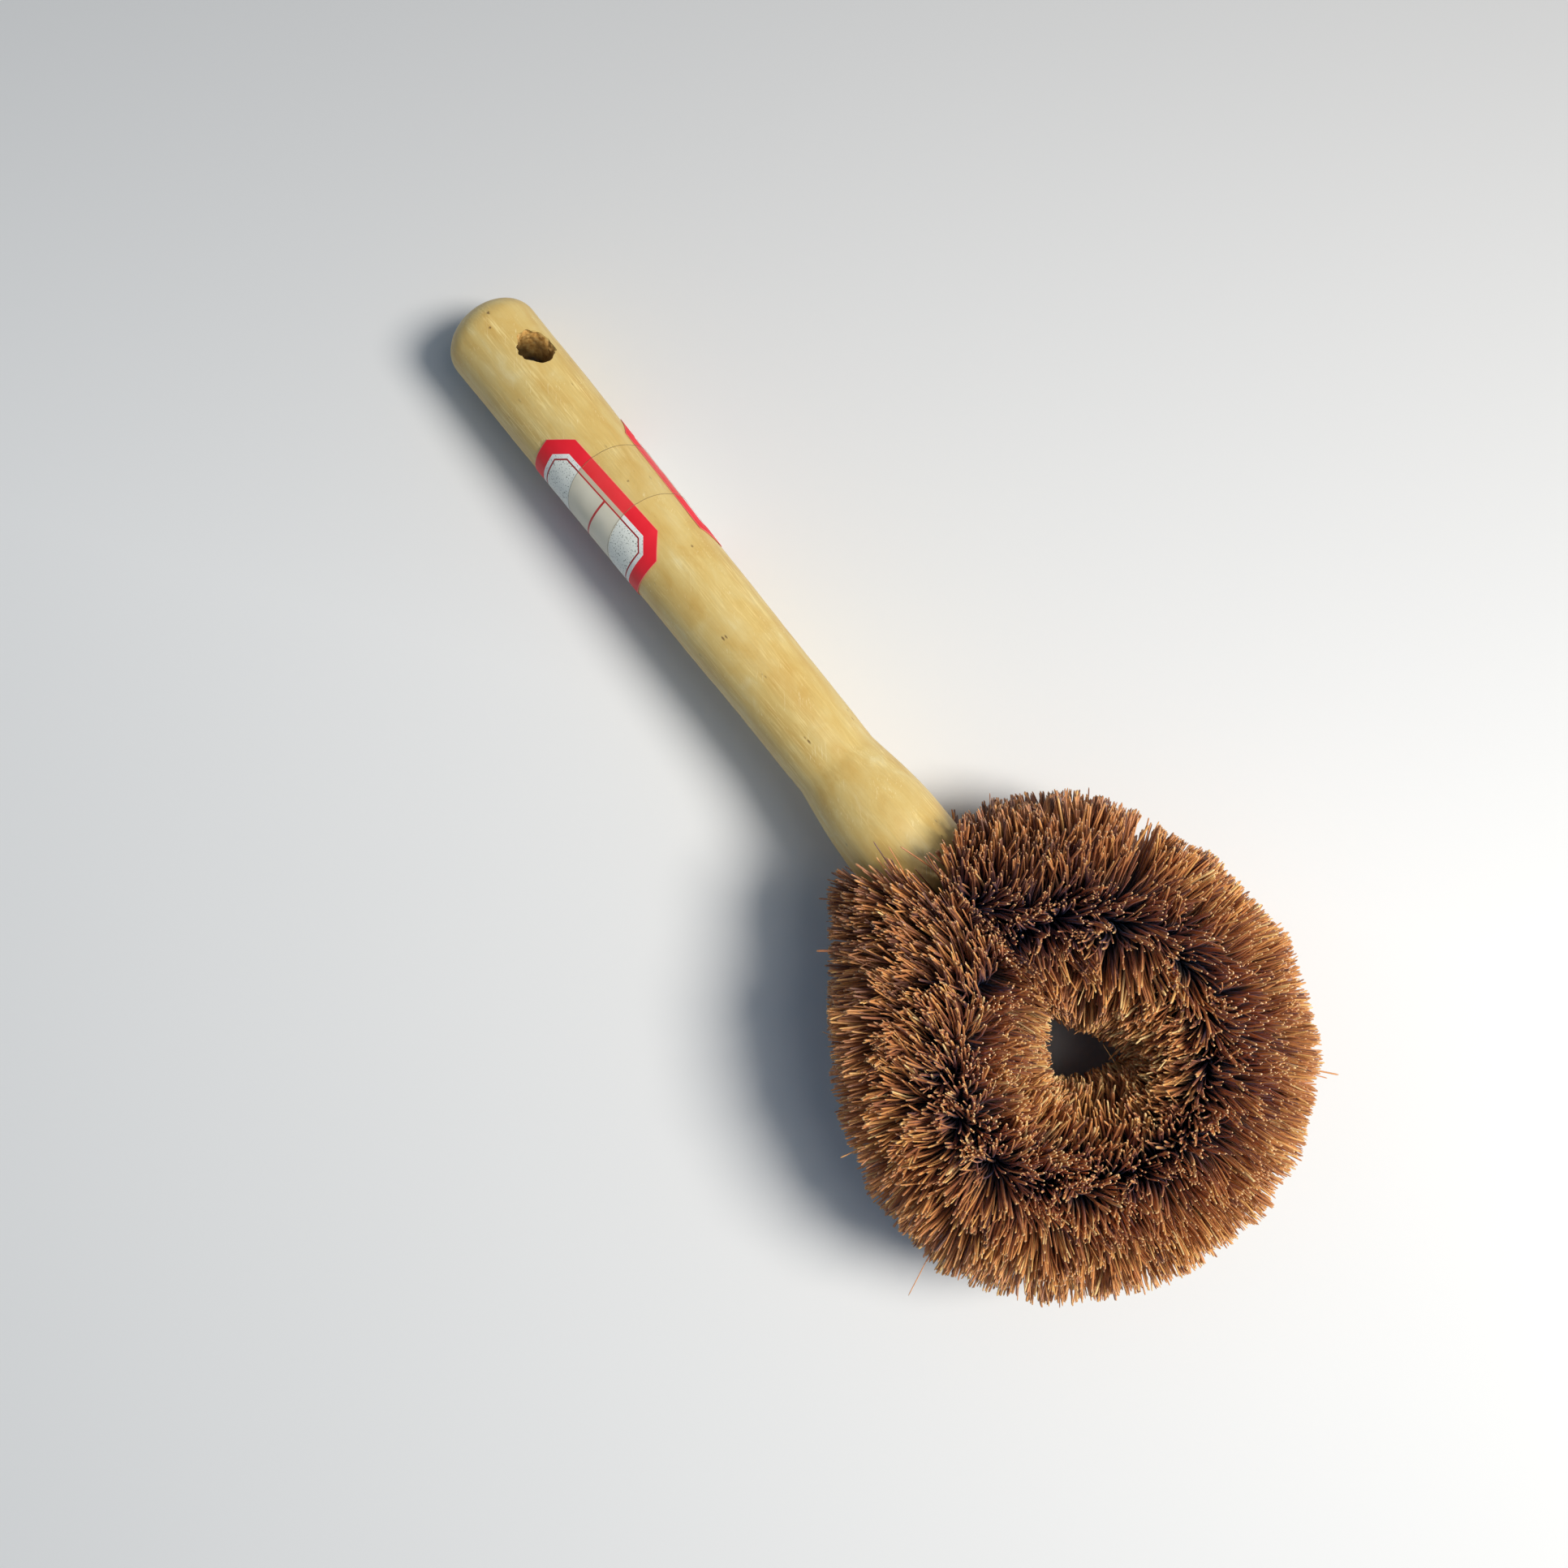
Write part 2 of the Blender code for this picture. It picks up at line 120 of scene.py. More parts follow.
# Hanging hole: its cutter's size, and the raw, torn wood at its rims
hole_inset = 0.0001
cutter_excess = 0.003
tear_zone = (0.45, 1.0)
tear_wave = 0.0020
tear_depth = 0.00030
tear_reach = 0.002
raw_depth = (0.00010, 0.00045)

# Seeds of the random draws
strand_seed = 7
wood_seed = 5
hole_seed = 11
label_seed = 3

# Fibre strands: count, section and the shares of their length at which they have a ring
strand_count = 27000
strand_sides = 4
strand_shares = (0.0, 0.28, 0.55, 0.80, 0.985, 1.0)
strand_root = 0.0012
strand_radius = 0.00024
strand_radius_spread = 0.30
radius_shares = (0.6, 1.6)
strand_taper = ((0.0, 1.0), (0.7, 1.0), (0.985, 0.92), (1.0, 0.50))
bend_power = 1.3

# Steps of an even, patternless spread along the wire and round it, and how strongly and at what
# share of the reach it is thinned inside the ring
place_step = 0.7548776662466927
turn_step = 0.5698402909980532
evening_power = 0.7
evening_share = 0.85

# Reach of the strands
top_reach = 0.0262
reach_wave = 0.012
reach_wave_height = 0.0004
reach_jitter = 0.0012
short_share = 0.27
short_lengths = (0.70, 0.95)
foot_height = 0.0005
foot_root_height = 0.004
wood_clearance = 0.0005
mouth_gap = 0.0004
route_end_gap = 0.0003

# Combing, tufts and strays
parting_wave = 0.010
parting_variation = 0.5
helix_pitch = 0.0180
helix_strength = 0.03
lean_spread = 0.35
comb_wave = 0.0110
comb_strength = 0.075
frizz = 0.055
clump_size = 7
clump_pull = 0.30
clump_shape = (1.3, 1.6)
follow_shares = (0.5, 1.0)
throat_clumping = 1.1
lobe_clumping = 1.1
rim_clumping = 0.9
stray_share = 0.006
stray_length = 0.0024

# Where the fibre changes: distance towards the handle, stations and shares out or in
throat_zone = (0.012, 0.036)
lobe_zone = (90, 115)
rim_zone = (0.5, 0.9)
inner_zone = (0.2, 0.7)

# Tone of the strands, with painted shade in the throat and lobe and painted light on inward
# strands
throat_painted_shade = 0.20
lobe_painted_shade = 0.10
inner_painted_light = 0.13
tone_shape = (2.2, 2.0)
tone_wave = 0.005
tone_wave_strength = 0.10

# Seam between the arms in the throat, and the open cleft beside the lobe
seam_station = 110
seam_side = 0.0014
seam_overlap = 0.0016
seam_spread = (-1.2, 0.5)
cleft_station = 125.5
cleft_zone = 30.0
cleft_angle = radians(124.0)
cleft_half_width = 0.0013
cleft_floor = 0.038
cleft_rim = 0.052

# Trims of the flat flank and of the fringe over the handle's bulb: the station up to which each
# goes, and its flat's distance from the ring's middle and the way it faces
trims = (
    (-120, 0.0567, radians(-128.8)),
    (-95, -0.0060, radians(53.3)),
)

# Least values to divide by
least_facing = 0.25
least_rest = 0.02
least_radial = 0.0001

# How the fibre is combed, by station. A station is the ring angle in degrees, and beyond 160 on
# either side it runs on along the wire's bend to the handle's mouth at 200. Each row: station,
# outward and inward directions, outward and inward reaches, how far the top leans back over the
# handle, how strongly the fibre parts along the crown, and how far out the crown lies. Directions,
# leans and the crown's place are in degrees. The jump at 125.5 is the cleft.
mouth_station = 200.0
bend_station = 160.0
throat_station = 165
combing = (
    (-200, -138, 56, 0.0255, 0.0220, 28, -0.04, 0),
    (-190, -136, 50, 0.0275, 0.0225, 20, -0.04, 4),
    (-180, -134, 42, 0.0310, 0.0235, 26, -0.04, 6),
    (-160, -130, 35, 0.0315, 0.0250, 25, -0.04, 10),
    (-145, -129, 42, 0.0310, 0.0260, 22, -0.04, 14),
    (-128, -128, 51, 0.0262, 0.0262, 18, -0.02, 15),
    (-110, -110, 66, 0.0257, 0.0255, 13, 0.02, 13),
    (-90, -90, 84, 0.0274, 0.0230, 7, 0.03, 10),
    (-70, -70, 108, 0.0290, 0.0234, 3, 0.00, 5),
    (-50, -50, 130, 0.0275, 0.0241, 0, -0.03, -2),
    (-30, -30, 150, 0.0259, 0.0246, 0, -0.01, -4),
    (0, 0, 172, 0.0250, 0.0233, 0, 0.05, -3),
    (30, 30, 210, 0.0237, 0.0190, 0, 0.10, 0),
    (50, 50, 230, 0.0240, 0.0186, 0, 0.14, 0),
    (76, 76, 261, 0.0230, 0.0240, 0, 0.18, 0),
    (105, 103, 284, 0.0228, 0.0265, 0, 0.22, 0),
    (125.4, 115, 296, 0.0245, 0.0265, 0, 0.21, 0),
    (125.6, 132, 297, 0.0256, 0.0264, 0, 0.19, 0),
    (135, 137, 304, 0.0271, 0.0261, 0, 0.17, 0),
    (146, 142, 314, 0.0292, 0.0256, 0, 0.12, 0),
    (160, 143, 318, 0.0296, 0.0244, 0, 0.06, 0),
    (176, 142, 314, 0.0286, 0.0225, 0, 0.02, 0),
    (184, 138, 310, 0.0235, 0.0225, 3, 0.00, 0),
    (190, 134, 306, 0.0165, 0.0225, 10, -0.04, 0),
    (200, 128, 300, 0.0165, 0.0220, 20, -0.04, 0),
)

# Places along the handle's axis, from the middle of the ring
mouth_reach = ring_radius + throat_length
shoulder_reach = mouth_reach + shoulder_length
bulb_reach = shoulder_reach + bulb_length
neck_reach = bulb_reach + flare_length
grip_reach = neck_reach + taper_length
handle_reach = mouth_reach + handle_length
dome_start = handle_reach - dome_depth


def handle_slope():
    """Angle below level at which the handle's end just clears the surface."""
    drop = bristle_reach - foot_cut - heel_clearance
    reach = hypot(dome_start, end_radius)
    return asin(drop / reach) - atan2(end_radius, dome_start)


slope = handle_slope()
ring_height = bristle_reach - foot_cut
ring_x = (handle_reach * cos(slope) - ring_radius - bristle_reach) / 2
ring_centre = np.array((ring_x, 0.0, ring_height))
handle_root = Vector((ring_x, -handle_side_offset, ring_height))
handle_matrix = Matrix.Translation(handle_root) @ Matrix.Rotation(-(pi / 2 + slope), 4, "Y")
handle_turn = np.array(handle_matrix.to_3x3())
handle_axis = handle_turn[:, 2]
up = np.array((0.0, 0.0, 1.0))


# Small helpers


def unit(vectors):
    return vectors / np.linalg.norm(vectors, axis=-1, keepdims=True)


def smooth_step(low, high, value):
    share = np.clip((value - low) / (high - low), 0, 1)
    return share * share * (3 - 2 * share)


def level_direction(angle):
    """Level unit vectors at angles in radians from +X towards +Y."""
    return np.stack((np.cos(angle), np.sin(angle), np.zeros_like(angle)), -1)


def waves(points, wavelength, draws, count=20):
    """Smooth random field of about unit size, from plane waves in random directions."""
    directions = unit(draws.normal(size=(count, 3)))
    lengths = wavelength * draws.uniform(0.7, 1.5, count)
    phases = draws.uniform(0, tau, count)
    turns = points @ (directions * (tau / lengths)[:, None]).T + phases
    return np.sin(turns).sum(-1) * sqrt(2 / count)


def unevenness(points, layers, draws):
    """Sum of random waves, from pairs of wavelength and height."""
    return sum(waves(points, wavelength, draws) * height for wavelength, height in layers)


def new_object(name, data):
    thing = bpy.data.objects.new(name, data)
    bpy.context.scene.collection.objects.link(thing)
    return thing


def piece_from_mesh(name, mesh, material, node):
    """A piece of the visual model, which stands for a CAD node and rides on the body."""
    mesh.materials.clear()
    mesh.materials.append(material)
    piece = new_object(name, mesh)
    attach(piece, "root")
    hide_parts(node)


def add_attribute(mesh, name, values, vector=False):
    """Point attribute of a mesh, from an array of numbers or vectors."""
    layer = mesh.attributes.new(name, "FLOAT_VECTOR" if vector else "FLOAT", "POINT")
    values = values.astype(np.float32).ravel()
    layer.data.foreach_set("vector" if vector else "value", values)


def tube_quads(rings, sides):
    """Corner numbers of the quads that join closed rings of points."""
    ring, side = np.meshgrid(np.arange(rings - 1), np.arange(sides), indexing="ij")
    beside = (side + 1) % sides
    corners = (side, beside, sides + beside, sides + side)
    return np.stack([ring * sides + corner for corner in corners], -1).reshape(-1, 4)


def closed_mesh(name, points, faces):
    """Mesh of points and faces, turned so that every face looks outward."""
    mesh = bpy.data.meshes.new(name)
    mesh.from_pydata(points.reshape(-1, 3).tolist(), [], faces)
    shape = bmesh.new()
    shape.from_mesh(mesh)
    bmesh.ops.recalc_face_normals(shape, faces=shape.faces)
    shape.to_mesh(mesh)
    shape.free()
    return mesh


def capped_tube(name, rings, quads):
    """Closed mesh of rings of points, their quads and a cap on either end."""
    count, sides = rings.shape[:2]
    last = (count - 1) * sides
    caps = [list(range(sides)), list(range(last, last + sides))]
    return closed_mesh(name, rings, quads.tolist() + caps)


# Node helpers


def srgb(red, green, blue):
    """Linear colour of a colour given as 0 to 255."""
    values = [part / 255 for part in (red, green, blue)]
    linear = [v / 12.92 if v <= 0.04045 else ((v + 0.055) / 1.055) ** 2.4 for v in values]
    return (*linear, 1.0)


def set_inputs(node, values):
    """Links inputs of a node to sockets, or sets them to values."""
    for name, value in values.items():
        if isinstance(value, bpy.types.NodeSocket):
            node.id_data.links.new(value, node.inputs[name])
        else:
            node.inputs[name].default_value = value


def tree_of(*values):
    """Node tree of the first socket among some values."""
    return next(value.id_data for value in values if isinstance(value, bpy.types.NodeSocket))


def add_node(tree, kind, inputs=None, **settings):
    made = tree.nodes.new("ShaderNode" + kind)
    for name, value in settings.items():
        setattr(made, name, value)
    set_inputs(made, inputs or {})
    return made


def calculate(operation, *values, clamp=False):
    inputs = dict(enumerate(values))
    made = add_node(tree_of(*values), "Math", inputs, operation=operation)
    made.use_clamp = clamp
    return made.outputs[0]


def mix_colours(factor, first, second, blend="MIX"):
    made = add_node(tree_of(factor, first, second), "Mix", data_type="RGBA", blend_type=blend)
    set_inputs(made, {0: factor, 6: first, 7: second})
    return made.outputs[2]


def ramp(value, *stops):
    """Colour by value, from stops of (place, red, green, blue), 0 to 255, or (place, grey)."""
    made = add_node(value.id_data, "ValToRGB", {"Fac": value})
    elements = made.color_ramp.elements
    while len(elements) < len(stops):
        elements.new(1.0)
    for element, (place, *colour) in zip(elements, stops):
        element.position = place
        element.color = srgb(*colour) if len(colour) == 3 else (*colour * 3, 1.0)
    return made.outputs["Color"]


def times(first, second):
    return calculate("MULTIPLY", first, second)


def shaded(colour, mask, amount, shade):
    """A colour drawn towards a shade by a mask, at most by an amount."""
    return mix_colours(times(mask, amount), colour, shade)


def darkened(colour, amount, shade):
    return mix_colours(amount, colour, shade, "MULTIPLY")


def rise(value, low, high):
    """Mask that goes from 0 to 1 between two values."""
    return ramp(value, (low, 0.0), (high, 1.0))


def noise(vector, scale, detail=3.0, roughness=0.5, distortion=0.0):
    inputs = {
        "Vector": vector,
        "Scale": scale,
        "Detail": detail,
        "Roughness": roughness,
        "Distortion": distortion,
    }
    return add_node(vector.id_data, "TexNoise", inputs).outputs["Fac"]


def attribute(tree, name, output="Fac"):
    return add_node(tree, "Attribute", attribute_name=name).outputs[output]


def separate(vector):
    return add_node(vector.id_data, "SeparateXYZ", {"Vector": vector}).outputs


def object_place(tree):
    return add_node(tree, "TexCoord").outputs["Object"]


def grain_place(tree, scale=(1.0, 1.0, 1.0), turn=0.0):
    """Place in the handle's own axes, turned about its up direction and then scaled."""
    place = attribute(tree, "grain", "Vector")
    for inputs in ({"Rotation": (turn, 0.0, 0.0)}, {"Scale": scale}):
        place = add_node(tree, "Mapping", {"Vector": place, **inputs}).outputs[0]
    return place


def bump(height, distance, strength=1.0):
    inputs = {"Height": height, "Distance": distance, "Strength": strength}
    return add_node(height.id_data, "Bump", inputs).outputs["Normal"]


def new_material(name, looks):
    """Material with one Principled shader, whose inputs a function of its tree gives."""
    material = bpy.data.materials.new(name)
    material.use_nodes = True
    tree = material.node_tree
    set_inputs(tree.nodes["Principled BSDF"], looks(tree))
    return material


# Materials

# Printed lines of a label, in millimetres from its outline or its middle
label_red_width = 3.3
label_line_place = 4.5
label_line_width = 0.38
label_divider_place = -0.8

# Growth rings of the wood: where the pith lies from the handle's axis, and their spacing
pith_distance = 0.034
pith_side = 0.011
pith_lean = 0.03
ring_spacing = 0.0021
ring_wander = 0.0016

# Relief of the wood, and how much deeper its pores go
wood_relief = 0.00010
pore_depth = 1.2

# Brown marks in the wood: reach, roll in degrees, size and how dark they are
wood_marks = (
    (0.2170, 13.0, 0.00090, 0.85),
    (0.2137, 4.0, 0.00065, 0.80),
    (0.1650, 17.5, 0.00060, 0.85),
    (0.1440, 30.0, 0.00065, 0.60),
)


def fibre_looks(tree):
    """Palm fibre: orange-brown along the shaft, pale where it is cut, painted shade towards the
    root.
    """
    tone, along, tip = separate(attribute(tree, "fibre", "Vector"))
    shaft = ramp(
        tone,
        (0.00, 118, 76, 60),
        (0.16, 167, 108, 74),
        (0.40, 208, 137, 84),
        (0.70, 235, 166, 98),
        (0.90, 248, 193, 118),
        (1.00, 255, 220, 157),
    )
    streaks = noise(object_place(tree), 900.0, 2.0, 0.6)
    shaft = darkened(shaft, 0.55, ramp(streaks, (0.3, 0.60), (0.6, 1.0)))
    # Painted shade: the shaft is multiplied towards navy near the root, where the strands shade
    # each other
    depth = ramp(
        along,
        (0.00, 24, 54, 176),
        (0.45, 142, 160, 206),
        (0.78, 247, 241, 236),
        (1.00, 255, 255, 242),
    )
    shaft = darkened(shaft, 1.0, depth)
    cut = mix_colours(tone, srgb(196, 140, 86), srgb(234, 194, 136))
    colour = mix_colours(calculate("POWER", tip, 1.6), shaft, cut)
    return {
        "Base Color": colour,
        "Roughness": 0.38,
        "Specular IOR Level": 0.55,
        "Sheen Weight": 0.16,
        "Sheen Roughness": 0.5,
        "Sheen Tint": (0.06, 0.40, 1.0, 1.0),
        "Normal": bump(streaks, 0.00008, 0.5),
    }


def growth_rings(tree):
    """Fine growth rings round a pith outside the handle: lines on the grip, arches on the bulb."""
    x, y, z = separate(grain_place(tree))
    wander = noise(grain_place(tree, (90.0, 90.0, 14.0)), 1.0, 2.0, 0.5)
    leaning = calculate("MULTIPLY_ADD", z, pith_lean, x)
    sides = ((leaning, pith_distance), (y, pith_side))
    sides = [calculate("ADD", place, distance) for place, distance in sides]
    squares = [calculate("POWER", side, 2.0) for side in sides]
    radius = calculate("SQRT", calculate("ADD", *squares))
    radius = calculate("MULTIPLY_ADD", wander, ring_wander, radius)
    wave = calculate("SINE", times(radius, tau / ring_spacing))
    return calculate("MULTIPLY_ADD", wave, 0.5, 0.5)


def spot(tree, place, reach, roll, size):
    """1 in the middle of a small ragged mark at a reach and roll on the wood, falling to 0."""
    radius = handle_radius_at(reach)
    middle = (radius * cos(roll), radius * sin(roll), reach)
    far = add_node(tree, "VectorMath", {0: place, 1: middle}, operation="DISTANCE")
    ragged = times(noise(place, 1600.0, 2.0, 0.6), size * 1.2)
    distance = calculate("ADD", far.outputs["Value"], ragged)
    return ramp(calculate("DIVIDE", distance, size * 2.0), (0.40, 1.0), (0.62, 0.0))


def torn_wood(tree, place):
    """Colour of the raw wood in the hanging hole, with painted shade that darkens it deeper in the
    bore.
    """
    colour = ramp(
        noise(place, 900.0, 3.0, 0.65),
        (0.30, 170, 122, 60),
        (0.50, 212, 164, 92),
        (0.70, 232, 192, 122),
    )
    # Painted shade: darker the deeper a point lies in the bore
    shade = ramp(attribute(tree, "bore_depth"), (0.10, 1.0), (0.60, 0.10))
    return darkened(colour, 1.0, shade)


def wood_looks(tree):
    """Pale turned wood: mottled, pale streaks along the grain (partly painted sheen), scratches,
    short dark pores.
    """
    place = grain_place(tree)
    patches = noise(grain_place(tree, (170.0, 170.0, 90.0)), 1.0, 5.0, 0.65, 0.5)
    colour = ramp(
        patches,
        (0.30, 208, 172, 96),
        (0.46, 214, 183, 110),
        (0.60, 217, 190, 122),
        (0.78, 224, 205, 150),
    )
    rings = ramp(growth_rings(tree), (0.0, 240, 222, 184), (0.7, 255, 255, 255))
    colour = darkened(colour, 0.28, rings)
    fine = noise(grain_place(tree, (1.0, 1.0, 0.06)), 2300.0, 3.0, 0.62)
    silk_zone = noise(grain_place(tree, (1.0, 1.0, 0.4)), 150.0, 3.0, 0.6)
    # Pale streaks along the grain: partly the grain's own colour, partly a painted sheen
    silk_highlight = times(rise(fine, 0.52, 0.64), rise(silk_zone, 0.46, 0.66))
    colour = darkened(colour, 0.30, ramp(fine, (0.28, 0.78), (0.52, 1.0)))
    colour = shaded(colour, silk_highlight, 0.65, srgb(244, 220, 152))
    scratch = noise(grain_place(tree, (1.0, 1.0, 0.03), 0.6), 3400.0, 2.0, 0.5)
    scratch_zone = noise(place, 210.0, 2.0, 0.5)
    scratches = times(rise(scratch, 0.62, 0.68), rise(scratch_zone, 0.50, 0.62))
    colour = shaded(colour, scratches, 0.5, srgb(238, 220, 168))
    cells = {"Vector": grain_place(tree, (1.0, 1.0, 0.40)), "Scale": 430.0, "Randomness": 1.0}
    cell = add_node(tree, "TexVoronoi", cells).outputs["Distance"]
    pore_zone = noise(place, 130.0, 2.0, 0.5)
    pores = times(ramp(cell, (0.07, 1.0), (0.13, 0.0)), rise(pore_zone, 0.54, 0.64))
    colour = shaded(colour, pores, 0.85, srgb(112, 82, 46))
    for reach, roll, size, depth in wood_marks:
        mark = spot(tree, place, reach, radians(roll), size)
        colour = shaded(colour, mark, depth, srgb(92, 60, 34))
    colour = mix_colours(attribute(tree, "torn"), colour, torn_wood(tree, place))
    relief = calculate("SUBTRACT", fine, times(pores, pore_depth))
    return {
        "Base Color": colour,
        "Roughness": calculate("MULTIPLY_ADD", patches, 0.12, 0.36),
        "Specular IOR Level": 0.42,
        "Normal": bump(relief, wood_relief, 0.35),
    }


def label_edge(across, along):
    """Distance inwards from the label's outline, in millimetres."""
    half_width, half_length, half_end = (
        size * 500 for size in (label_width, label_length, label_end_width)
    )
    across, along = (calculate("ABSOLUTE", place) for place in (across, along))
    side = calculate("SUBTRACT", half_width, across)
    end = calculate("SUBTRACT", half_length, along)
    reach = half_length + half_end * label_slant
    corner = calculate("MULTIPLY_ADD", across, -label_slant, reach)
    corner = calculate("SUBTRACT", corner, along)
    corner = calculate("DIVIDE", corner, hypot(1, label_slant))
    return calculate("MINIMUM", calculate("MINIMUM", side, end), corner)


def label_looks(tree):
    """Printed paper: red border, white line, thin red line, speckled field, smooth under tape."""
    sheet = add_node(tree, "UVMap", uv_map="sheet").outputs["UV"]
    place = object_place(tree)
    across, along = separate(sheet)[:2]
    edge = label_edge(across, along)
    from_tape = calculate("ABSOLUTE", attribute(tree, "from_tape"))
    taped = calculate("LESS_THAN", from_tape, tape_width * 500)
    speckle = noise(place, 2600.0, 2.0, 0.7)
    cloud = noise(place, 160.0, 2.0, 0.5)
    speckled = ramp(speckle, (0.34, 96, 100, 84), (0.41, 238, 240, 230))
    smooth = ramp(cloud, (0.30, 224, 217, 194), (0.70, 232, 226, 206))
    field = mix_colours(taped, speckled, smooth)
    margin = ramp(speckle, (0.30, 150, 148, 138), (0.42, 236, 236, 230))
    white = mix_colours(taped, margin, srgb(206, 192, 166))
    red = ramp(cloud, (0.30, 228, 26, 40), (0.70, 240, 36, 52))
    line_red = mix_colours(taped, srgb(150, 30, 34), srgb(190, 28, 38))
    in_border = calculate("LESS_THAN", edge, label_red_width)
    in_line = calculate("COMPARE", edge, label_line_place, label_line_width / 2)
    beyond = calculate("GREATER_THAN", edge, label_line_place)
    divider = calculate("COMPARE", along, label_divider_place, label_line_width * 0.7)
    line = calculate("MAXIMUM", in_line, times(divider, beyond))
    colour = mix_colours(beyond, white, field)
    colour = mix_colours(line, colour, line_red)
    colour = mix_colours(in_border, colour, red)
    paper_edge = calculate("LESS_THAN", edge, 0.10)
    colour = shaded(colour, paper_edge, 0.45, srgb(236, 170, 160))
    return {
        "Base Color": colour,
        "Roughness": calculate("MULTIPLY_ADD", taped, -0.18, 0.52),
        "Specular IOR Level": 0.35,
        "Normal": bump(speckle, 0.00004, 0.3),
    }


def tape_looks(tree):
    """Clear film: all but invisible save for its sheen and its cut edges."""
    sheet = add_node(tree, "UVMap", uv_map="sheet").outputs["UV"]
    across = separate(sheet)[0]
    side = calculate("SUBTRACT", tape_width / 2 * 1000, calculate("ABSOLUTE", across))
    haze = noise(sheet, 0.35, 3.0, 0.6)
    rim = ramp(side, (0.10, 0.30), (0.20, 0.01))
    alpha = calculate("MULTIPLY_ADD", haze, 0.03, rim)
    tint = ramp(side, (0.10, 150, 128, 84), (0.22, 190, 176, 140))
    return {
        "Base Color": tint,
        "Roughness": 0.20,
        "Specular IOR Level": 0.6,
        "Alpha": alpha,
    }


def wire_looks(tree):
    """Galvanised wire: grey zinc, dulled in patches."""
    patches = noise(object_place(tree), 500.0, 3.0, 0.6)
    zinc = ramp(patches, (0.35, 150, 152, 156), (0.65, 196, 198, 202))
    return {
        "Base Color": zinc,
        "Metallic": 1.0,
        "Roughness": ramp(patches, (0.35, 0.30), (0.70, 0.52)),
        "Normal": bump(patches, 0.00005, 0.4),
    }


# Handle


def handle_outline():
    """Radii and reaches of the handle from its domed end to its mouth."""
    flat_angle = asin(dome_flat_radius / end_radius)
    dome = np.linspace(flat_angle, pi / 2, 14)
    grip = np.linspace(dome_start, grip_reach, 60)[1:]
    taper = np.linspace(grip_reach, neck_reach, 26)[1:]
    flare = np.linspace(0, 1, 20)[1:]
    shoulder = np.linspace(0, pi / 2, 12)[1:]
    radii = np.concatenate((
        end_radius * np.sin(dome),
        np.interp(grip, (grip_reach, dome_start), (grip_radius, end_radius)),
        np.interp(taper, (neck_reach, grip_reach), (neck_radius, grip_radius)),
        neck_radius + (bulb_radius - neck_radius) * np.sin(flare * pi / 2),
        np.full(4, bulb_radius),
        mouth_radius + (bulb_radius - mouth_radius) * np.cos(shoulder),
    ))
    reaches = np.concatenate((
        dome_start + dome_depth * np.cos(dome),
        grip,
        taper,
        neck_reach + (bulb_reach - neck_reach) * flare,
        np.linspace(bulb_reach, shoulder_reach, 5)[1:],
        shoulder_reach + (mouth_reach - shoulder_reach) * np.sin(shoulder),
    ))
    return radii, reaches


outline_radii, outline_reaches = handle_outline()


def handle_radius_at(reach):
    return np.interp(reach, outline_reaches[::-1], outline_radii[::-1])


def circles(radii, reaches, sides):
    """Rings of points round an axis, of given radii at given reaches."""
    angles = np.arange(sides) * tau / sides
    radii = np.asarray(radii)[:, None]
    return np.stack(np.broadcast_arrays(
        radii * np.cos(angles), radii * np.sin(angles), np.asarray(reaches)[:, None]
    ), -1)


def turned_mesh(radii, reaches, sides):
    """Closed surface of revolution with slight unevenness, in the handle's own axes."""
    draws = np.random.default_rng(wood_seed)
    rings = circles(radii, reaches, sides)
    uneven = unevenness(rings, wood_waves, draws)
    rings[..., :2] *= (1 + uneven / np.maximum(radii[:, None], neck_radius))[..., None]
    socket = (mouth_reach, mouth_reach + socket_depth)
    rings = np.concatenate((rings, circles(np.full(2, socket_radius), socket, sides)))
    quads = tube_quads(len(rings), sides)[:, [0, 3, 2, 1]]
    return capped_tube("handle_turned", rings, quads)


def hole_cutter():
    """Rough drill's way through the handle, torn where it comes out on either side."""
    draws = np.random.default_rng(hole_seed)
    half = end_radius + cutter_excess
    places = np.linspace(-half, half, hole_steps)
    wall = circles(np.full(hole_steps, hole_radius), places, hole_sides)
    torn = smooth_step(*tear_zone, np.abs(places) / end_radius)[:, None]
    rough = unevenness(wall, hole_waves, draws)
    jagged = np.abs(waves(wall, tear_wave, draws)) * tear_depth * torn
    radius = hole_radius + rough + jagged - hole_inset
    wall[..., :2] *= (radius / hole_radius)[..., None]
    mesh = capped_tube("hole_cutter", wall, tube_quads(hole_steps, hole_sides))
    mesh.transform(
        Matrix.Translation((0, 0, handle_reach - hole_from_end))
        @ Matrix.Rotation(hole_roll, 4, "Z")
        @ Matrix.Rotation(pi / 2, 4, "Y")
    )
    return mesh


def mark_wood(mesh):
    """Point attributes: 1 inside the hanging hole and at its torn rim, and the wood's grain."""
    points = np.empty(len(mesh.vertices) * 3, np.float32)
    mesh.vertices.foreach_get("co", points)
    points = points.reshape(-1, 3)
    axis = np.array((cos(hole_roll), sin(hole_roll), 0.0))
    off = points - np.array((0.0, 0.0, handle_reach - hole_from_end))
    from_axis = np.linalg.norm(off - (off @ axis)[:, None] * axis, axis=1)
    radial = np.hypot(points[:, 0], points[:, 1])
    depth = handle_radius_at(points[:, 2]) - radial
    inside = smooth_step(*raw_depth, depth) * (from_axis < hole_radius + tear_reach)
    add_attribute(mesh, "torn", inside)
    # Depth below the wood's surface, which sets the painted shade in the bore
    add_attribute(mesh, "bore_depth", depth / end_radius)
    add_attribute(mesh, "grain", points, vector=True)


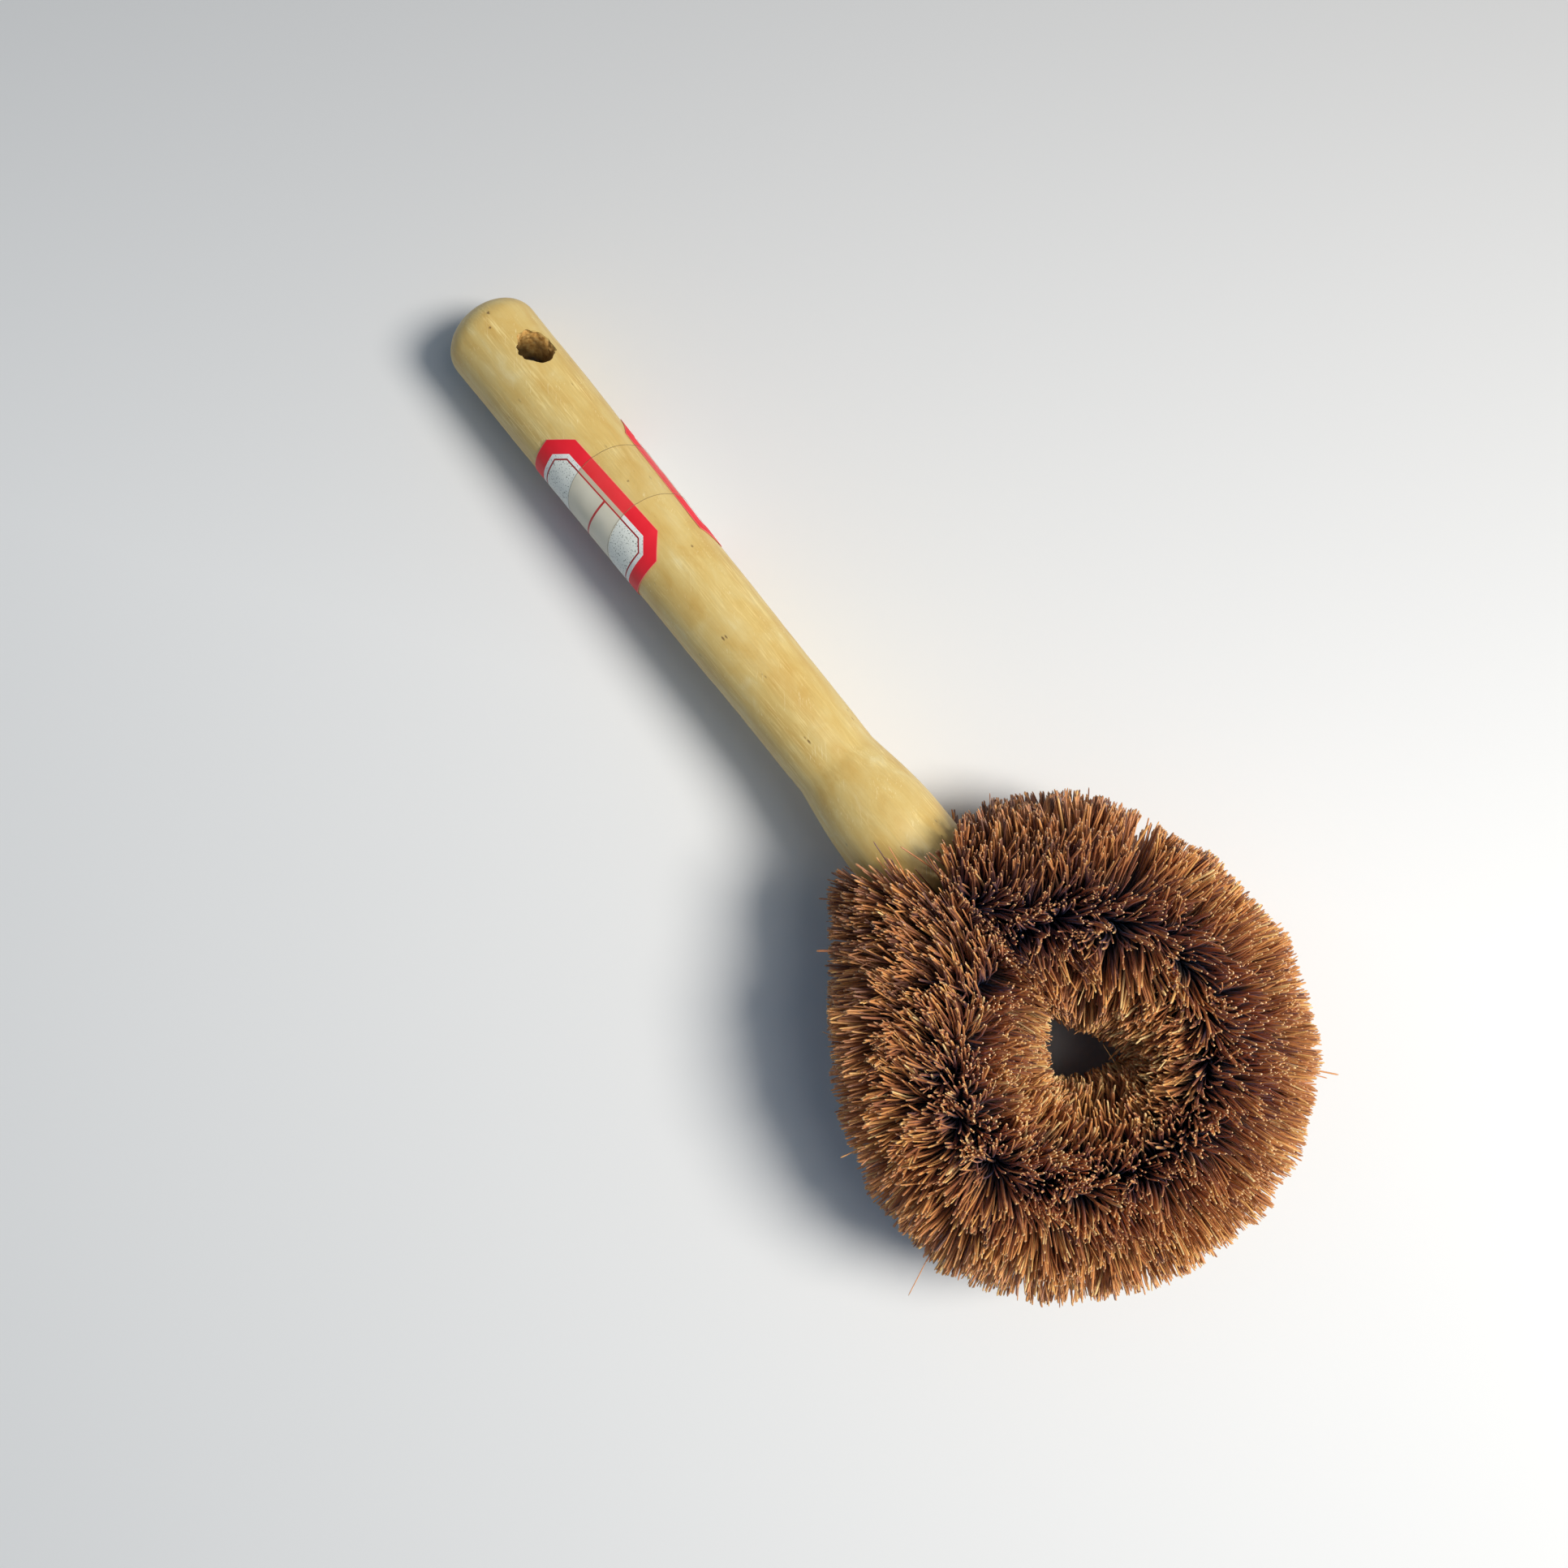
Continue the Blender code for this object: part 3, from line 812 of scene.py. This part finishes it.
def handle():
    """The turned handle, less the hanging hole."""
    turned = new_object("turned", turned_mesh(outline_radii, outline_reaches, handle_sides))
    cutter = new_object("hole_cutter", hole_cutter())
    cut = turned.modifiers.new("hanging_hole", "BOOLEAN")
    cut.operation = "DIFFERENCE"
    cut.solver = "EXACT"
    cut.object = cutter
    bpy.context.view_layer.update()
    mesh = bpy.data.meshes.new_from_object(
        turned.evaluated_get(bpy.context.evaluated_depsgraph_get())
    )
    bpy.data.objects.remove(turned, do_unlink=True)
    bpy.data.objects.remove(cutter, do_unlink=True)
    mesh.shade_smooth()
    mesh.set_sharp_from_angle(angle=wood_crease)
    mark_wood(mesh)
    mesh.transform(handle_matrix)
    material = new_material("pale_wood", wood_looks)
    piece_from_mesh("handle_wood", mesh, material, "handle")


# Labels and tape


def label_half_length(across):
    """Half the label's length at a distance across it: its corners are cut off."""
    beyond = np.maximum(0, np.abs(across) - label_end_width / 2)
    return label_length / 2 - beyond * label_slant


def wrapped(reach, roll, lift):
    """Points over the handle at a reach and roll, lifted off the wood, in world axes."""
    radius = handle_radius_at(reach) + lift
    local = np.stack((radius * np.cos(roll), radius * np.sin(roll), reach), -1)
    return local @ handle_turn.T + np.array(handle_root)


def sheet_mesh(name, reach, roll, low, high, sheet, closed):
    """Thin closed sheet from a grid of places, between two lifts, with its flat map."""
    rows, columns = reach.shape
    points = np.concatenate([wrapped(reach, roll, lift).reshape(-1, 3) for lift in (high, low)])
    count = rows * columns
    around = rows if closed else rows - 1
    row, column = np.meshgrid(np.arange(around), np.arange(columns - 1), indexing="ij")
    here = row * columns + column
    beside = (row + 1) % rows * columns + column
    top = np.stack((here, beside, beside + 1, here + 1), -1).reshape(-1, 4)
    faces = [top, top[:, ::-1] + count]
    rims = [np.arange(rows) * columns, np.arange(rows)[::-1] * columns + columns - 1]
    if not closed:
        last = (rows - 1) * columns
        rims += [np.arange(columns)[::-1], last + np.arange(columns)]
    for rim in rims:
        after = np.roll(rim, -1)
        ends = slice(None) if closed else slice(0, -1)
        faces.append(np.stack((rim, rim + count, after + count, after), -1)[ends])
    mesh = closed_mesh(name, points, np.concatenate(faces).tolist())
    flat = np.tile(sheet.reshape(-1, 2), (2, 1))
    corner = np.empty(len(mesh.loops), np.int32)
    mesh.loops.foreach_get("vertex_index", corner)
    layer = mesh.uv_layers.new(name="sheet")
    layer.uv.foreach_set("vector", flat[corner].astype(np.float32).ravel())
    mesh.shade_smooth()
    mesh.set_sharp_from_angle(angle=sheet_crease)
    return mesh


def tape_middle(roll):
    """Reach of the tape's middle line at a roll: the tape runs round the handle at a slant."""
    middle = handle_reach - tape_from_end
    swing = handle_radius_at(middle) * tan(tape_tilt)
    return middle + swing * np.cos(roll)


def label(side, material):
    from_end, roll, skew = label_places[side]
    middle = handle_reach - from_end
    draws = np.random.default_rng(label_seed)
    half, half_end = label_width / 2, label_end_width / 2
    across = np.linspace(-half, half, label_columns)
    across = np.sort(np.append(across, (-half_end, half_end)))
    share = np.linspace(-1, 1, label_rows)
    along = label_half_length(across)[:, None] * share
    across = np.repeat(across[:, None], len(share), 1)
    turned_along = along * cos(skew) + across * sin(skew)
    turned_across = across * cos(skew) - along * sin(skew)
    reach = middle + turned_along
    angle = roll + turned_across / handle_radius_at(middle)
    ripple = unevenness(np.stack((across, along, across * 0), -1), label_waves, draws)
    high = label_lift + label_thickness + ripple
    sheet = np.stack((across, along), -1) * 1000
    mesh = sheet_mesh("label_" + side, reach, angle, label_lift, high, sheet, False)
    add_attribute(mesh, "from_tape", np.tile(((reach - tape_middle(angle)) * 1000).ravel(), 2))
    piece_from_mesh("paper_label_" + side, mesh, material, "label_" + side)


def label_cover(reach, roll):
    """1 over a label and 0 beside it, with a slope between them."""
    cover = np.zeros_like(reach)
    for from_end, label_roll, skew in label_places.values():
        middle = handle_reach - from_end
        turn = (roll - label_roll + pi) % tau - pi
        over = turn * handle_radius_at(middle)
        across = over * cos(skew) + (reach - middle) * sin(skew)
        along = (reach - middle) * cos(skew) - over * sin(skew)
        side = label_width / 2 - np.abs(across)
        end = label_half_length(across) - np.abs(along)
        cover = np.maximum(cover, smooth_step(-film_slope, 0.0, np.minimum(side, end)))
    return cover


def tape():
    roll = np.arange(tape_sides) * tau / tape_sides
    share = np.linspace(-0.5, 0.5, tape_columns)
    reach = tape_middle(roll)[:, None] + share * tape_width
    roll = np.repeat(roll[:, None], len(share), 1)
    low = label_lift + label_cover(reach, roll) * (label_thickness + film_over_label)
    around = roll * end_radius * 1000
    sheet = np.stack(np.broadcast_arrays(share * tape_width * 1000, around), -1)
    mesh = sheet_mesh("tape_film", reach, roll, low, low + film_thickness, sheet, True)
    material = new_material("clear_tape", tape_looks)
    piece_from_mesh("tape_film", mesh, material, "tape_band")


# Fibre


def on_handle(reach, side):
    """Point of the handle's level middle plane."""
    return np.array(handle_matrix @ Vector((0, side, reach)))


def length_along(points):
    """Length of a line of points up to each of them."""
    steps = np.linalg.norm(np.diff(points, axis=0), axis=1)
    return np.concatenate(([0.0], np.cumsum(steps)))


def half_route(side):
    """Points and stations of the wire from the ring's end to the handle's mouth, on one side."""
    end_angle = radians(bend_station) * side
    ring_end = ring_centre + level_direction(end_angle) * ring_radius
    ring_pull = level_direction(end_angle + side * pi / 2) * wire_bend_pull
    bend_end = on_handle(mouth_reach - wire_bend_gap, side * wire_leg_offset)
    mouth = on_handle(mouth_reach - route_end_gap, side * wire_leg_offset)
    leg_pull = unit(mouth - bend_end) * wire_bend_pull
    share = np.linspace(0, 1, 60)[1:, None]
    rest = 1 - share
    bend = (
        ring_end * rest**3
        + (ring_end + ring_pull / 3) * (3 * rest**2 * share)
        + (bend_end - leg_pull / 3) * (3 * rest * share**2)
        + bend_end * share**3
    )
    leg = bend_end + (mouth - bend_end) * np.linspace(0, 1, 8)[1:, None]
    points = np.concatenate((ring_end[None], bend, leg))
    run = length_along(points)
    stations = side * (bend_station + (mouth_station - bend_station) * run / run[-1])
    return points[1:], stations[1:]


def fibre_route():
    """Points and stations of the wire outside the handle, and the length along it."""
    high_points, high_stations = half_route(1)
    low_points, low_stations = half_route(-1)
    ring_stations = np.linspace(-bend_station, bend_station, 400)
    ring_points = ring_centre + level_direction(np.radians(ring_stations)) * ring_radius
    points = np.concatenate((low_points[::-1], ring_points, high_points))
    stations = np.concatenate((low_stations[::-1], ring_stations, high_stations))
    return points, stations, length_along(points)


def even_turns(shares):
    """Turn angles round the wire, thinned where the strands crowd inside the ring."""
    turns = np.linspace(-pi, pi, 721)
    weight = (ring_radius + top_reach * evening_share * np.cos(turns)) ** evening_power
    total = np.concatenate(([0.0], np.cumsum((weight[1:] + weight[:-1]) / 2)))
    return np.interp(shares, total / total[-1], turns)


def trimmed(reach, start, headings, station):
    """Reaches cut short at the flat flank and at the fringe over the handle's bulb."""
    for last_station, distance, angle in trims:
        normal = level_direction(angle)
        room = distance - (start - ring_centre) @ normal
        facing = headings @ normal
        limit = room / np.maximum(facing, least_facing)
        meets = (station < last_station) & (facing > least_facing)
        reach = np.where(meets, np.minimum(reach, limit), reach)
    return reach


def pushed_off_wood(points):
    """Moves points out of the handle's wood, straight away from its axis."""
    local = (points - np.array(handle_root)) @ handle_turn
    radial = np.hypot(local[..., 0], local[..., 1])
    least = handle_radius_at(local[..., 2]) + wood_clearance
    within = (local[..., 2] > mouth_reach - mouth_gap) & (radial < least)
    stretch = np.where(within, least / np.maximum(radial, least_radial), 1.0)
    local[..., 0] *= stretch
    local[..., 1] *= stretch
    return local @ handle_turn.T + np.array(handle_root)


def kept_apart(headings, starts, reach, station, draws):
    """Turns the strands of one arm that would cross the seam into the other along it."""
    side = np.sign(station)
    overlap = draws.uniform(*seam_spread, len(station)) * seam_overlap
    room = np.maximum(side * (starts[:, 1] - seam_side) + overlap, 0.0)
    crossing = (np.abs(station) > seam_station) & (-side * headings[:, 1] * reach > room)
    turned_y = -side * np.minimum(room / reach, 1.0)
    rest = np.sqrt((1 - turned_y**2) / np.maximum(1 - headings[:, 1] ** 2, least_rest))
    turned = headings * rest[:, None]
    turned[:, 1] = turned_y
    return np.where(crossing[:, None], unit(turned), headings)


def clumped(tips, start, tightness, draws):
    """Draws tips together into tufts, some tight and some loose."""
    leaders = tips[draws.choice(len(tips), len(tips) // clump_size, replace=False)]
    tree = kdtree.KDTree(len(leaders))
    for index, leader in enumerate(leaders):
        tree.insert(leader, index)
    tree.balance()
    nearest = np.array([tree.find(tip)[1] for tip in tips])
    pull = draws.beta(*clump_shape, len(leaders))[nearest] * clump_pull
    pull = pull * draws.uniform(*follow_shares, len(tips)) * tightness
    moved = tips + (leaders[nearest] - tips) * pull[:, None]
    return at_same_length(moved, tips, start)


def cleft_opened(tips, start, station):
    """Moves the tips beside the lobe off the cleft's middle line, so that it opens at the rim."""
    along = level_direction(cleft_angle)
    across = level_direction(cleft_angle + pi / 2)
    place = tips - ring_centre
    side = np.where(station > cleft_station, 1.0, -1.0)
    half_width = cleft_half_width * smooth_step(cleft_floor, cleft_rim, place @ along)
    lack = np.maximum(half_width - side * (place @ across), 0.0)
    near = np.abs(station - cleft_station) < cleft_zone
    moved = tips + (side * lack * near)[:, None] * across
    return at_same_length(moved, tips, start)


def at_same_length(moved, tips, start):
    """Moved tips, drawn in or out so that each strand keeps its length."""
    length = np.linalg.norm(tips - start, axis=1, keepdims=True)
    return start + unit(moved - start) * length


def strand_places():
    """Each strand's start on the wire, station, length along the wire and turn round it."""
    route, stations, run = fibre_route()
    order = np.arange(strand_count)
    place = (order * place_step + 0.5) % 1.0
    turn = even_turns((order * turn_step + 0.5) % 1.0)
    at = place * run[-1]
    station = np.interp(at, run, stations)
    start = np.stack([np.interp(at, run, route[:, axis]) for axis in range(3)], -1)
    return start, station, at, turn


def parted(turn, start, at, parting, crown, draws):
    """Turns drawn to the crown's place, parted along it and gathered between the wire's turns."""
    turn = turn + np.radians(crown) * np.sin(np.maximum(turn, 0)) ** 2
    parting = parting * (1 + parting_variation * waves(start, parting_wave, draws))
    turn = turn - parting * np.sin(2 * turn)
    return turn - helix_strength * np.sin(2 * (turn - tau * at / helix_pitch))


def leaving(turn, outward, inward):
    """Directions in which the strands leave the wire, from their turns round it."""
    out_share = np.cos(turn)
    level = np.where(
        (out_share > 0)[:, None],
        level_direction(np.radians(outward)) * out_share[:, None],
        level_direction(np.radians(inward)) * -out_share[:, None],
    )
    return unit(level + up * np.sin(turn)[:, None])


def combed(straight, turn, lean, start, draws):
    """Directions leaned back over the handle, combed in waves and a little loose."""
    amount = np.tan(np.radians(lean)) * np.abs(np.sin(turn)) ** 3
    amount = amount * (1 + lean_spread * draws.normal(size=strand_count))
    leaned = unit(straight + handle_axis * np.maximum(amount, 0)[:, None])
    places = start + leaned * bristle_reach
    comb = np.stack([waves(places, comb_wave, draws) for _ in range(3)], -1) * comb_strength
    loose = draws.normal(size=(strand_count, 3)) * frizz
    return unit(leaned + comb + loose)


def throat_and_lobe(start, station):
    """How far each strand is in the throat and in the lobe, from 0 to 1."""
    throat = smooth_step(*throat_zone, ring_x - start[:, 0])
    return throat, smooth_step(*lobe_zone, station)


def strand_tips(start, headings, reach, station, out_share, draws):
    """Tips drawn into tufts, most in the throat, the lobe and at the rim, and a few strays."""
    tips = start + headings * reach[:, None]
    throat, lobe = throat_and_lobe(start, station)
    rim = smooth_step(*rim_zone, out_share)
    tightness = 1 + throat_clumping * throat + lobe_clumping * lobe + rim_clumping * rim
    tips = cleft_opened(clumped(tips, start, tightness, draws), start, station)
    stray = draws.random(strand_count) < stray_share
    astray = draws.normal(size=(strand_count, 3)) * stray_length
    return tips + astray * stray[:, None]


def strand_tones(start, tips, station, out_share, draws):
    """Tone of each strand from 0 to 1, with painted shade in the throat and the lobe and painted
    light inside.
    """
    throat, lobe = throat_and_lobe(start, station)
    inner = smooth_step(*inner_zone, -out_share)
    tone = draws.beta(*tone_shape, strand_count)
    # Painted shade in the throat and the lobe, and painted light on the strands that turn inward
    tone = tone - throat_painted_shade * throat - lobe_painted_shade * lobe + inner_painted_light * inner
    return np.clip(tone + tone_wave_strength * waves(tips, tone_wave, draws), 0, 1)


def strand_lines():
    """Centre lines of the strands, (strand, ring, xyz), their stations, tones and draws."""
    draws = np.random.default_rng(strand_seed)
    start, station, at, turn = strand_places()
    rows = np.array(combing, float)
    outward, inward, out_reach, in_reach, lean, parting, crown = (
        np.interp(station, rows[:, 0], rows[:, column]) for column in range(1, 8)
    )
    turn = parted(turn, start, at, parting, crown, draws)
    out_share = np.cos(turn)
    straight = leaving(turn, outward, inward)
    headings = combed(straight, turn, lean, start, draws)
    reach = np.where(out_share > 0, out_reach, in_reach)
    reach = top_reach + (reach - top_reach) * out_share**2
    height = waves(start + headings * reach[:, None], reach_wave, draws)
    reach = reach + height * reach_wave_height
    headings = kept_apart(headings, start, reach, station, draws)
    reach = trimmed(reach, start, headings, station)
    reach = reach - np.abs(draws.normal(size=strand_count)) * reach_jitter
    short = draws.random(strand_count) < short_share
    cut = draws.uniform(*short_lengths, strand_count)
    reach = reach * np.where(short, cut, 1.0)
    tips = strand_tips(start, headings, reach, station, out_share, draws)
    shares = np.array(strand_shares)[None, :, None]
    first = start[:, None] + straight[:, None] * (strand_root + shares * reach[:, None, None])
    last = start[:, None] + (tips - start)[:, None] * shares
    bend = shares**bend_power
    lines = pushed_off_wood(first * (1 - bend) + last * bend)
    floor_height = foot_height + (1 - shares[..., 0]) * foot_root_height
    lines[..., 2] = np.maximum(lines[..., 2], floor_height)
    return lines, station, strand_tones(start, tips, station, out_share, draws), draws


def strand_mesh(name, lines, radii, tone):
    """One mesh for many strands: tapered tubes with both ends closed."""
    count, rings = lines.shape[:2]
    sides = strand_sides
    heading = unit(lines[:, -1] - lines[:, 0])
    across = unit(np.cross(heading, np.where(np.abs(heading[:, 2:]) < 0.9, up, (1.0, 0, 0))))
    other = np.cross(heading, across)
    angles = (np.arange(sides) + 0.5) * tau / sides
    spokes = (
        across[:, None, None] * np.cos(angles)[:, None]
        + other[:, None, None] * np.sin(angles)[:, None]
    )
    points = lines[:, :, None] + spokes * radii[:, :, None, None]
    base = (np.arange(count) * rings * sides)[:, None, None]
    walls = tube_quads(rings, sides)
    ends = np.array((np.arange(sides)[::-1], (rings - 1) * sides + np.arange(sides)))
    quads = (np.concatenate((walls, ends)) + base).reshape(-1, 4)
    mesh = bpy.data.meshes.new(name)
    mesh.vertices.add(count * rings * sides)
    mesh.vertices.foreach_set("co", points.astype(np.float32).ravel())
    mesh.loops.add(quads.size)
    mesh.loops.foreach_set("vertex_index", quads.astype(np.int32).ravel())
    mesh.polygons.add(len(quads))
    mesh.polygons.foreach_set("loop_start", np.arange(0, quads.size, 4, dtype=np.int32))
    mesh.update(calc_edges=True)
    facts = np.zeros((count, rings, sides, 3))
    facts[..., 0] = tone[:, None, None]
    facts[..., 1] = np.array(strand_shares)[None, :, None]
    facts[:, -1, :, 2] = 1.0
    add_attribute(mesh, "fibre", facts, vector=True)
    add_bake_map(mesh, count, rings - 1)
    mesh.shade_smooth()
    flat = np.tile(np.arange(len(walls) + 2) >= len(walls), count)
    sharp = mesh.attributes.new("sharp_face", "BOOLEAN", "FACE")
    sharp.data.foreach_set("value", flat)
    return mesh


def add_bake_map(mesh, count, walls):
    """Map with a cell for each strand, for baking: walls below, the two ends above."""
    sides = strand_sides
    grid = ceil(sqrt(count))
    low, high, split, gap, end_width = 0.08, 0.92, 0.76, 0.04, 0.38
    width = (high - low) / sides
    height = (split - low) / walls
    boxes = [
        (low + side * width, low + wall * height, width, height)
        for wall in range(walls)
        for side in range(sides)
    ]
    for left in (low, high - end_width):
        boxes.append((left, split + gap, end_width, high - split - gap))
    boxes = np.array(boxes)[:, None]
    cells = boxes[..., :2] + boxes[..., 2:] * ((0, 0), (1, 0), (1, 1), (0, 1))
    corner = np.stack((np.arange(count) % grid, np.arange(count) // grid), -1)
    places = (cells[None] + corner[:, None, None]) / grid
    layer = mesh.uv_layers.new(name="OFBake")
    layer.uv.foreach_set("vector", places.astype(np.float32).ravel())


def fibre():
    """The ring of fibre: a piece for each CAD slice, and one for each arm in the throat."""
    lines, station, tone, draws = strand_lines()
    spread = np.exp(draws.normal(size=strand_count) * strand_radius_spread)
    thickness = strand_radius * np.clip(spread, *radius_shares)
    radii = thickness[:, None] * np.interp(strand_shares, *zip(*strand_taper))
    material = new_material("palm_fibre", fibre_looks)
    slices = sorted(name for name in frame["nodes"] if name.startswith("bristles_"))
    slices.remove("bristles_throat")
    width = 2 * throat_station / len(slices)
    number = np.floor((station + throat_station) / width)
    within = (number >= 0) & (number < len(slices))
    divisions = [
        (name.replace("bristles", "fibre"), name, number == index)
        for index, name in enumerate(slices)
    ]
    divisions.append(("fibre_throat_left", "bristles_throat", ~within & (station < 0)))
    divisions.append(("fibre_throat_right", "bristles_throat", ~within & (station > 0)))
    for name, node, chosen in divisions:
        mesh = strand_mesh(name, lines[chosen], radii[chosen], tone[chosen])
        piece_from_mesh(name, mesh, material, node)


def wires():
    material = new_material("galvanised_wire", wire_looks)
    for name in ("wire_strand_a", "wire_strand_b"):
        data = frame["nodes"][name].data
        data.materials.clear()
        data.materials.append(material)


# Surroundings

# Light comes from the right of the picture and a little from its top
picture_right = Vector((0.6266, 0.7789, 0.0))
picture_up = Vector((-0.7789, 0.6266, 0.0))
# Painted shade on the floor: how wide its fall towards the picture's top left is, and how far it
# turns aside
floor_shade_width = 0.50
floor_shade_aside = 0.30
floor_size = 6.0
floor_drop = 0.0002
floor_near = 0.31
floor_far = 0.60
backdrop_colour = srgb(232, 233, 235)
fill_colour = (0.48, 0.71, 1.0, 1.0)
fill_strength = 0.20
lamp_target = Vector((ring_x, 0, 0.02))

# Lamps: height above level and turn from picture right in degrees, distance, size, power, colour
lamps = {
    "key": (54.0, 5.0, 1.10, 0.47, 13.4, (1.0, 0.97, 0.92)),
    "top": (69.0, 7.0, 1.20, 0.60, 1.9, (1.0, 0.98, 0.95)),
}


def seen_by_eye(tree):
    """1 for camera rays and for those that a glossy or clear surface passes on, else 0."""
    rays = add_node(tree, "LightPath").outputs
    bent = calculate("MAXIMUM", rays["Is Glossy Ray"], rays["Is Transmission Ray"])
    return calculate("MAXIMUM", rays["Is Camera Ray"], bent)


def floor_looks(tree):
    """Pale paper surface, with painted shade that darkens it towards the picture's top left."""
    place = object_place(tree)
    mottle = noise(place, 6.0, 3.0, 0.5)
    shade_way = picture_up + picture_right * floor_shade_aside
    dot = add_node(tree, "VectorMath", {0: place, 1: shade_way}, operation="DOT_PRODUCT")
    fade = calculate("MULTIPLY_ADD", dot.outputs["Value"], 1 / floor_shade_width, 0.5)
    # Painted shade: the floor's colour darkens towards the picture's top left
    grey = ramp(fade, (0.5, 237, 236, 234), (1.0, 194, 193, 192))
    return {
        "Base Color": shaded(grey, mottle, 0.06, srgb(205, 206, 208)),
        "Roughness": 0.75,
        "Specular IOR Level": 0.15,
    }


def floor():
    """Pale surface, wide enough for low views, that fades into the backdrop far away."""
    material = new_material("pale_floor", floor_looks)
    tree = material.node_tree
    place = object_place(tree)
    from_middle = add_node(tree, "VectorMath", {0: place}, operation="LENGTH")
    far = calculate("SUBTRACT", from_middle.outputs["Value"], floor_near)
    far = calculate("DIVIDE", far, floor_far, clamp=True)
    backdrop = add_node(tree, "Emission", {"Color": backdrop_colour})
    mixed = add_node(tree, "MixShader", {
        0: times(far, seen_by_eye(tree)),
        1: tree.nodes["Principled BSDF"].outputs[0],
        2: backdrop.outputs[0],
    })
    tree.links.new(mixed.outputs[0], tree.nodes["Material Output"].inputs["Surface"])
    bpy.ops.mesh.primitive_plane_add(size=floor_size, location=(0, 0, -floor_drop))
    plane = bpy.context.object
    plane.name = "floor"
    plane.data.materials.append(material)


def world():
    sky = bpy.data.worlds.new("studio")
    bpy.context.scene.world = sky
    sky.use_nodes = True
    tree = sky.node_tree
    tree.nodes.clear()
    fill, seen = (
        add_node(tree, "Background", {"Color": colour, "Strength": strength}).outputs[0]
        for colour, strength in ((fill_colour, fill_strength), (backdrop_colour, 1.0))
    )
    mixed = add_node(tree, "MixShader", {0: seen_by_eye(tree), 1: fill, 2: seen})
    add_node(tree, "OutputWorld", {"Surface": mixed.outputs[0]})


def lights():
    """Soft round lamps, aimed at the head."""
    for name, (height, swing, distance, size, power, colour) in lamps.items():
        height, swing = radians(height), radians(swing)
        level = picture_right * cos(swing) + picture_up * sin(swing)
        toward = level * cos(height) + Vector((0, 0, sin(height)))
        data = bpy.data.lights.new(name, "AREA")
        data.shape = "DISK"
        data.size = size
        data.energy = power
        data.color = colour
        lamp = new_object(name, data)
        lamp.location = lamp_target + toward * distance
        lamp.rotation_euler = (-toward).to_track_quat("-Z", "Y").to_euler()


# Camera of the photograph, from a fit to the handle, the labels and the wire's ring
camera_place = Vector((0.00075, -0.00749, 0.38556))
camera_look = Vector((-0.01818, -0.01809, -0.99967))
camera_right = Vector((0.62662, 0.77891, -0.02549))
camera_lens = 36.0


def camera():
    data = bpy.data.cameras.new("photograph")
    data.lens = camera_lens
    data.sensor_width = 36.0
    data.clip_start = 0.01
    data.clip_end = 20.0
    back = -camera_look.normalized()
    right = (camera_right - back * camera_right.dot(back)).normalized()
    top = back.cross(right)
    turn = Matrix((right, top, back)).transposed().to_4x4()
    thing = new_object("photograph", data)
    thing.matrix_world = Matrix.Translation(camera_place) @ turn
    bpy.context.scene.camera = thing


camera()
bpy.context.scene.view_settings.view_transform = "Standard"
floor()
world()
lights()
handle()
paper = new_material("label_paper", label_looks)
label("left", paper)
label("right", paper)
tape()
wires()
fibre()
